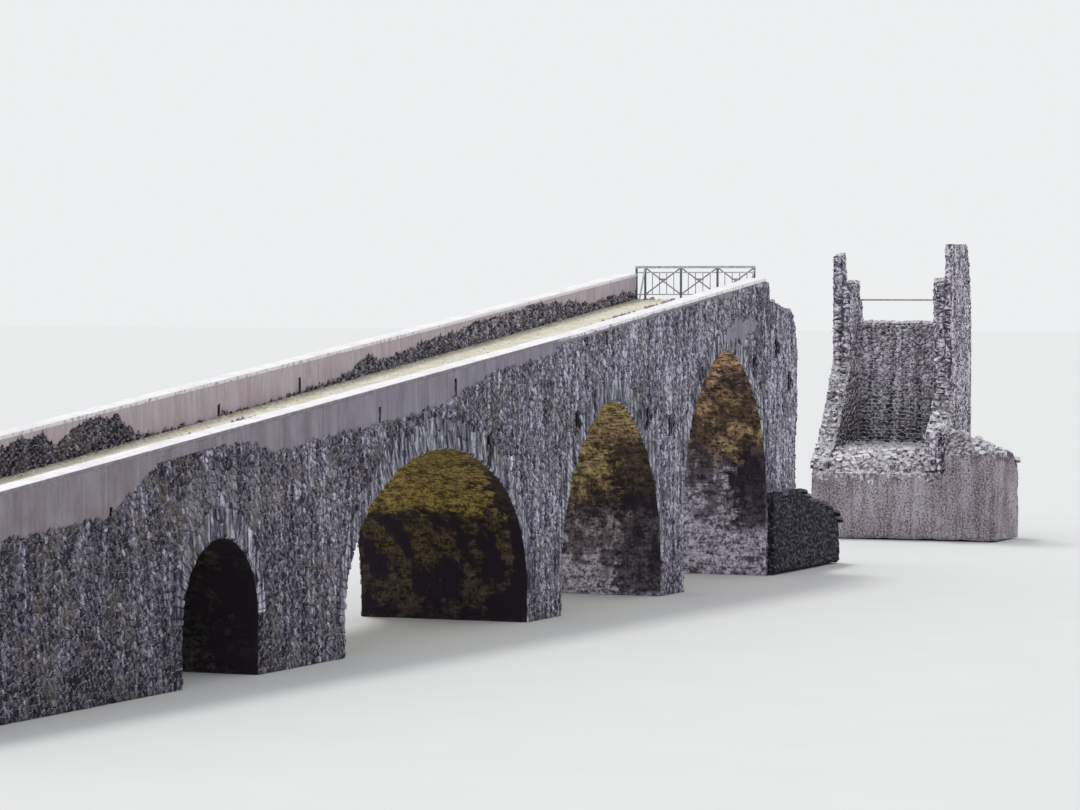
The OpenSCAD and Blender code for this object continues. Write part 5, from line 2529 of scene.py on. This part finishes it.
@dataclass
class Studio:
    """Pale floor, soft light and the camera of the picture."""

    spot: Vector = Vector((-10.975, -4.7235, 0.970))
    heading: float = math.radians(23.15)
    pitch: float = math.radians(1.718)
    lens: float = 133.33
    sensor: float = 36.0
    sky: float = 0.86
    sun: float = 1.35
    sun_width: float = math.radians(14)
    floor_reach: float = 70
    floor_z: float = -0.0008

    def build(self) -> None:
        """Builds the floor, the world, the lamps and the camera."""
        board = Board("pale_floor", 0.9)
        speck = board.cloud(3, 2)
        colour = board.mix(speck, tint(216, 216, 215), tint(211, 211, 210))
        far = self.floor_reach
        points = [(x * far, y * far, self.floor_z) for x, y in ((-1, -1), (1, -1), (1, 1), (-1, 1))]
        data = bpy.data.meshes.new("floor")
        data.from_pydata(points, [], [(0, 1, 2, 3)])
        data.materials.append(board.finish(colour))
        floor = bpy.data.objects.new("floor", data)
        bpy.context.scene.collection.objects.link(floor)
        floor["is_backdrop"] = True
        self.light()
        self.camera()

    def light(self) -> None:
        """Sets an even sky and a soft high lamp from behind the bridge."""
        world = bpy.data.worlds.new("soft_sky")
        bpy.context.scene.world = world
        world.use_nodes = True
        nodes, links = world.node_tree.nodes, world.node_tree.links
        nodes.clear()
        sky = nodes.new("ShaderNodeBackground")
        sky.inputs["Color"].default_value = (0.95, 0.97, 1.0, 1.0)
        sky.inputs["Strength"].default_value = self.sky
        wall = nodes.new("ShaderNodeBackground")
        wall.inputs["Color"].default_value = tint(238, 239, 240)
        wall.inputs["Strength"].default_value = 1.0
        rays = nodes.new("ShaderNodeLightPath")
        seen = rays.outputs["Is Camera Ray"]
        for kind in ("Is Glossy Ray", "Is Transmission Ray"):
            either = nodes.new("ShaderNodeMath")
            either.operation = "MAXIMUM"
            links.new(seen, either.inputs[0])
            links.new(rays.outputs[kind], either.inputs[1])
            seen = either.outputs[0]
        mix = nodes.new("ShaderNodeMixShader")
        links.new(seen, mix.inputs[0])
        links.new(sky.outputs[0], mix.inputs[1])
        links.new(wall.outputs[0], mix.inputs[2])
        out = nodes.new("ShaderNodeOutputWorld")
        links.new(mix.outputs[0], out.inputs["Surface"])
        data = bpy.data.lights.new("high_lamp", "SUN")
        data.energy = self.sun
        data.angle = self.sun_width
        data.color = (1.0, 0.99, 0.975)
        lamp = bpy.data.objects.new("high_lamp", data)
        lamp.rotation_euler = Vector((0.28, 0.42, 1.0)).to_track_quat("Z", "Y").to_euler()
        bpy.context.scene.collection.objects.link(lamp)

    def camera(self) -> None:
        """Sets the camera where the picture was taken from."""
        data = bpy.data.cameras.new("camera")
        data.lens = self.lens
        data.sensor_width = self.sensor
        data.clip_start = 0.1
        data.clip_end = 300
        camera = bpy.data.objects.new("camera", data)
        bpy.context.scene.collection.objects.link(camera)
        way = Vector((
            math.cos(self.heading) * math.cos(self.pitch),
            math.sin(self.heading) * math.cos(self.pitch),
            -math.sin(self.pitch),
        ))
        camera.location = self.spot
        camera.rotation_euler = way.to_track_quat("-Z", "Y").to_euler()
        bpy.context.scene.camera = camera
        bpy.context.scene.view_settings.view_transform = "Standard"


def dress_solids(finishes: Finishes) -> None:
    """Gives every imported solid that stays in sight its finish.

    Args:
        finishes: The bridge's finishes.
    """
    for arch in Site.ARCHES:
        finishes.dress(finishes.holed, f"near_spandrel_{arch}", f"far_spandrel_{arch}")
        finishes.dress(finishes.core, f"core_fill_{arch}")
        finishes.dress(finishes.soffits[arch], f"vault_{arch}")
    parapets = [f"{side}_parapet_{end}" for side in ("near", "far") for end in ("west", "east")]
    piers = ("west_abutment", "pier_a", "pier_b", "pier_c", "pier_d")
    for finish, names in (
        (finishes.holed, ("ramp_near_wall", "ramp_far_wall")),
        (finishes.mortar, ("ramp_end_wall", *parapets, *piers)),
        (finishes.core, ("ramp_fill",)),
        (finishes.gravel, ("road_surface",)),
        (finishes.coping, ("near_coping", "far_coping")),
        (finishes.steel, ("railing_posts",)),
        (finishes.braces, ("railing_braces",)),
        (finishes.top_rail, ("railing_rails",)),
        (finishes.pipe, ("ruin_pipe_rail",)),
        (finishes.ruin_mortar, ("ruin_near_wall", "ruin_far_wall", "ruin_back_wall", "ruin_rubble")),
        (finishes.base_coat, ("ruin_base", "ruin_cutwater")),
        (finishes.footing, ("river_footing",)),
    ):
        finishes.dress(finish, *names)


def main() -> None:
    """Builds every piece in order and reports it."""
    logging.basicConfig(level=logging.INFO, format="%(message)s")
    Studio().build()
    site = Site()
    finishes = Finishes(site)
    dress_solids(finishes)
    parapets = Parapets(site, finishes)
    arches = [ArchStones(site, finishes, arch) for arch in Site.ARCHES]
    slots: list[Hole] = []
    for side in Side:
        coats = parapets.outer_coats(side)
        for coat in coats:
            coat.make(finishes.coat, "near_render")
        wall = LongWall(site, finishes, side, coats, arches)
        wall.build()
        slots += wall.slots()
        parapets.inner_face(side)
        Coping(site, finishes, side).build()
    wall.west_end()
    for arch in arches:
        arch.build(slots)
    Roadway(site, finishes).build()
    RiverEnd(site, finishes).build()
    Railing(site, finishes).build()
    Footing(site, finishes).build()
    FarPier(site, finishes).build()


if __name__ == "__main__":
    main()
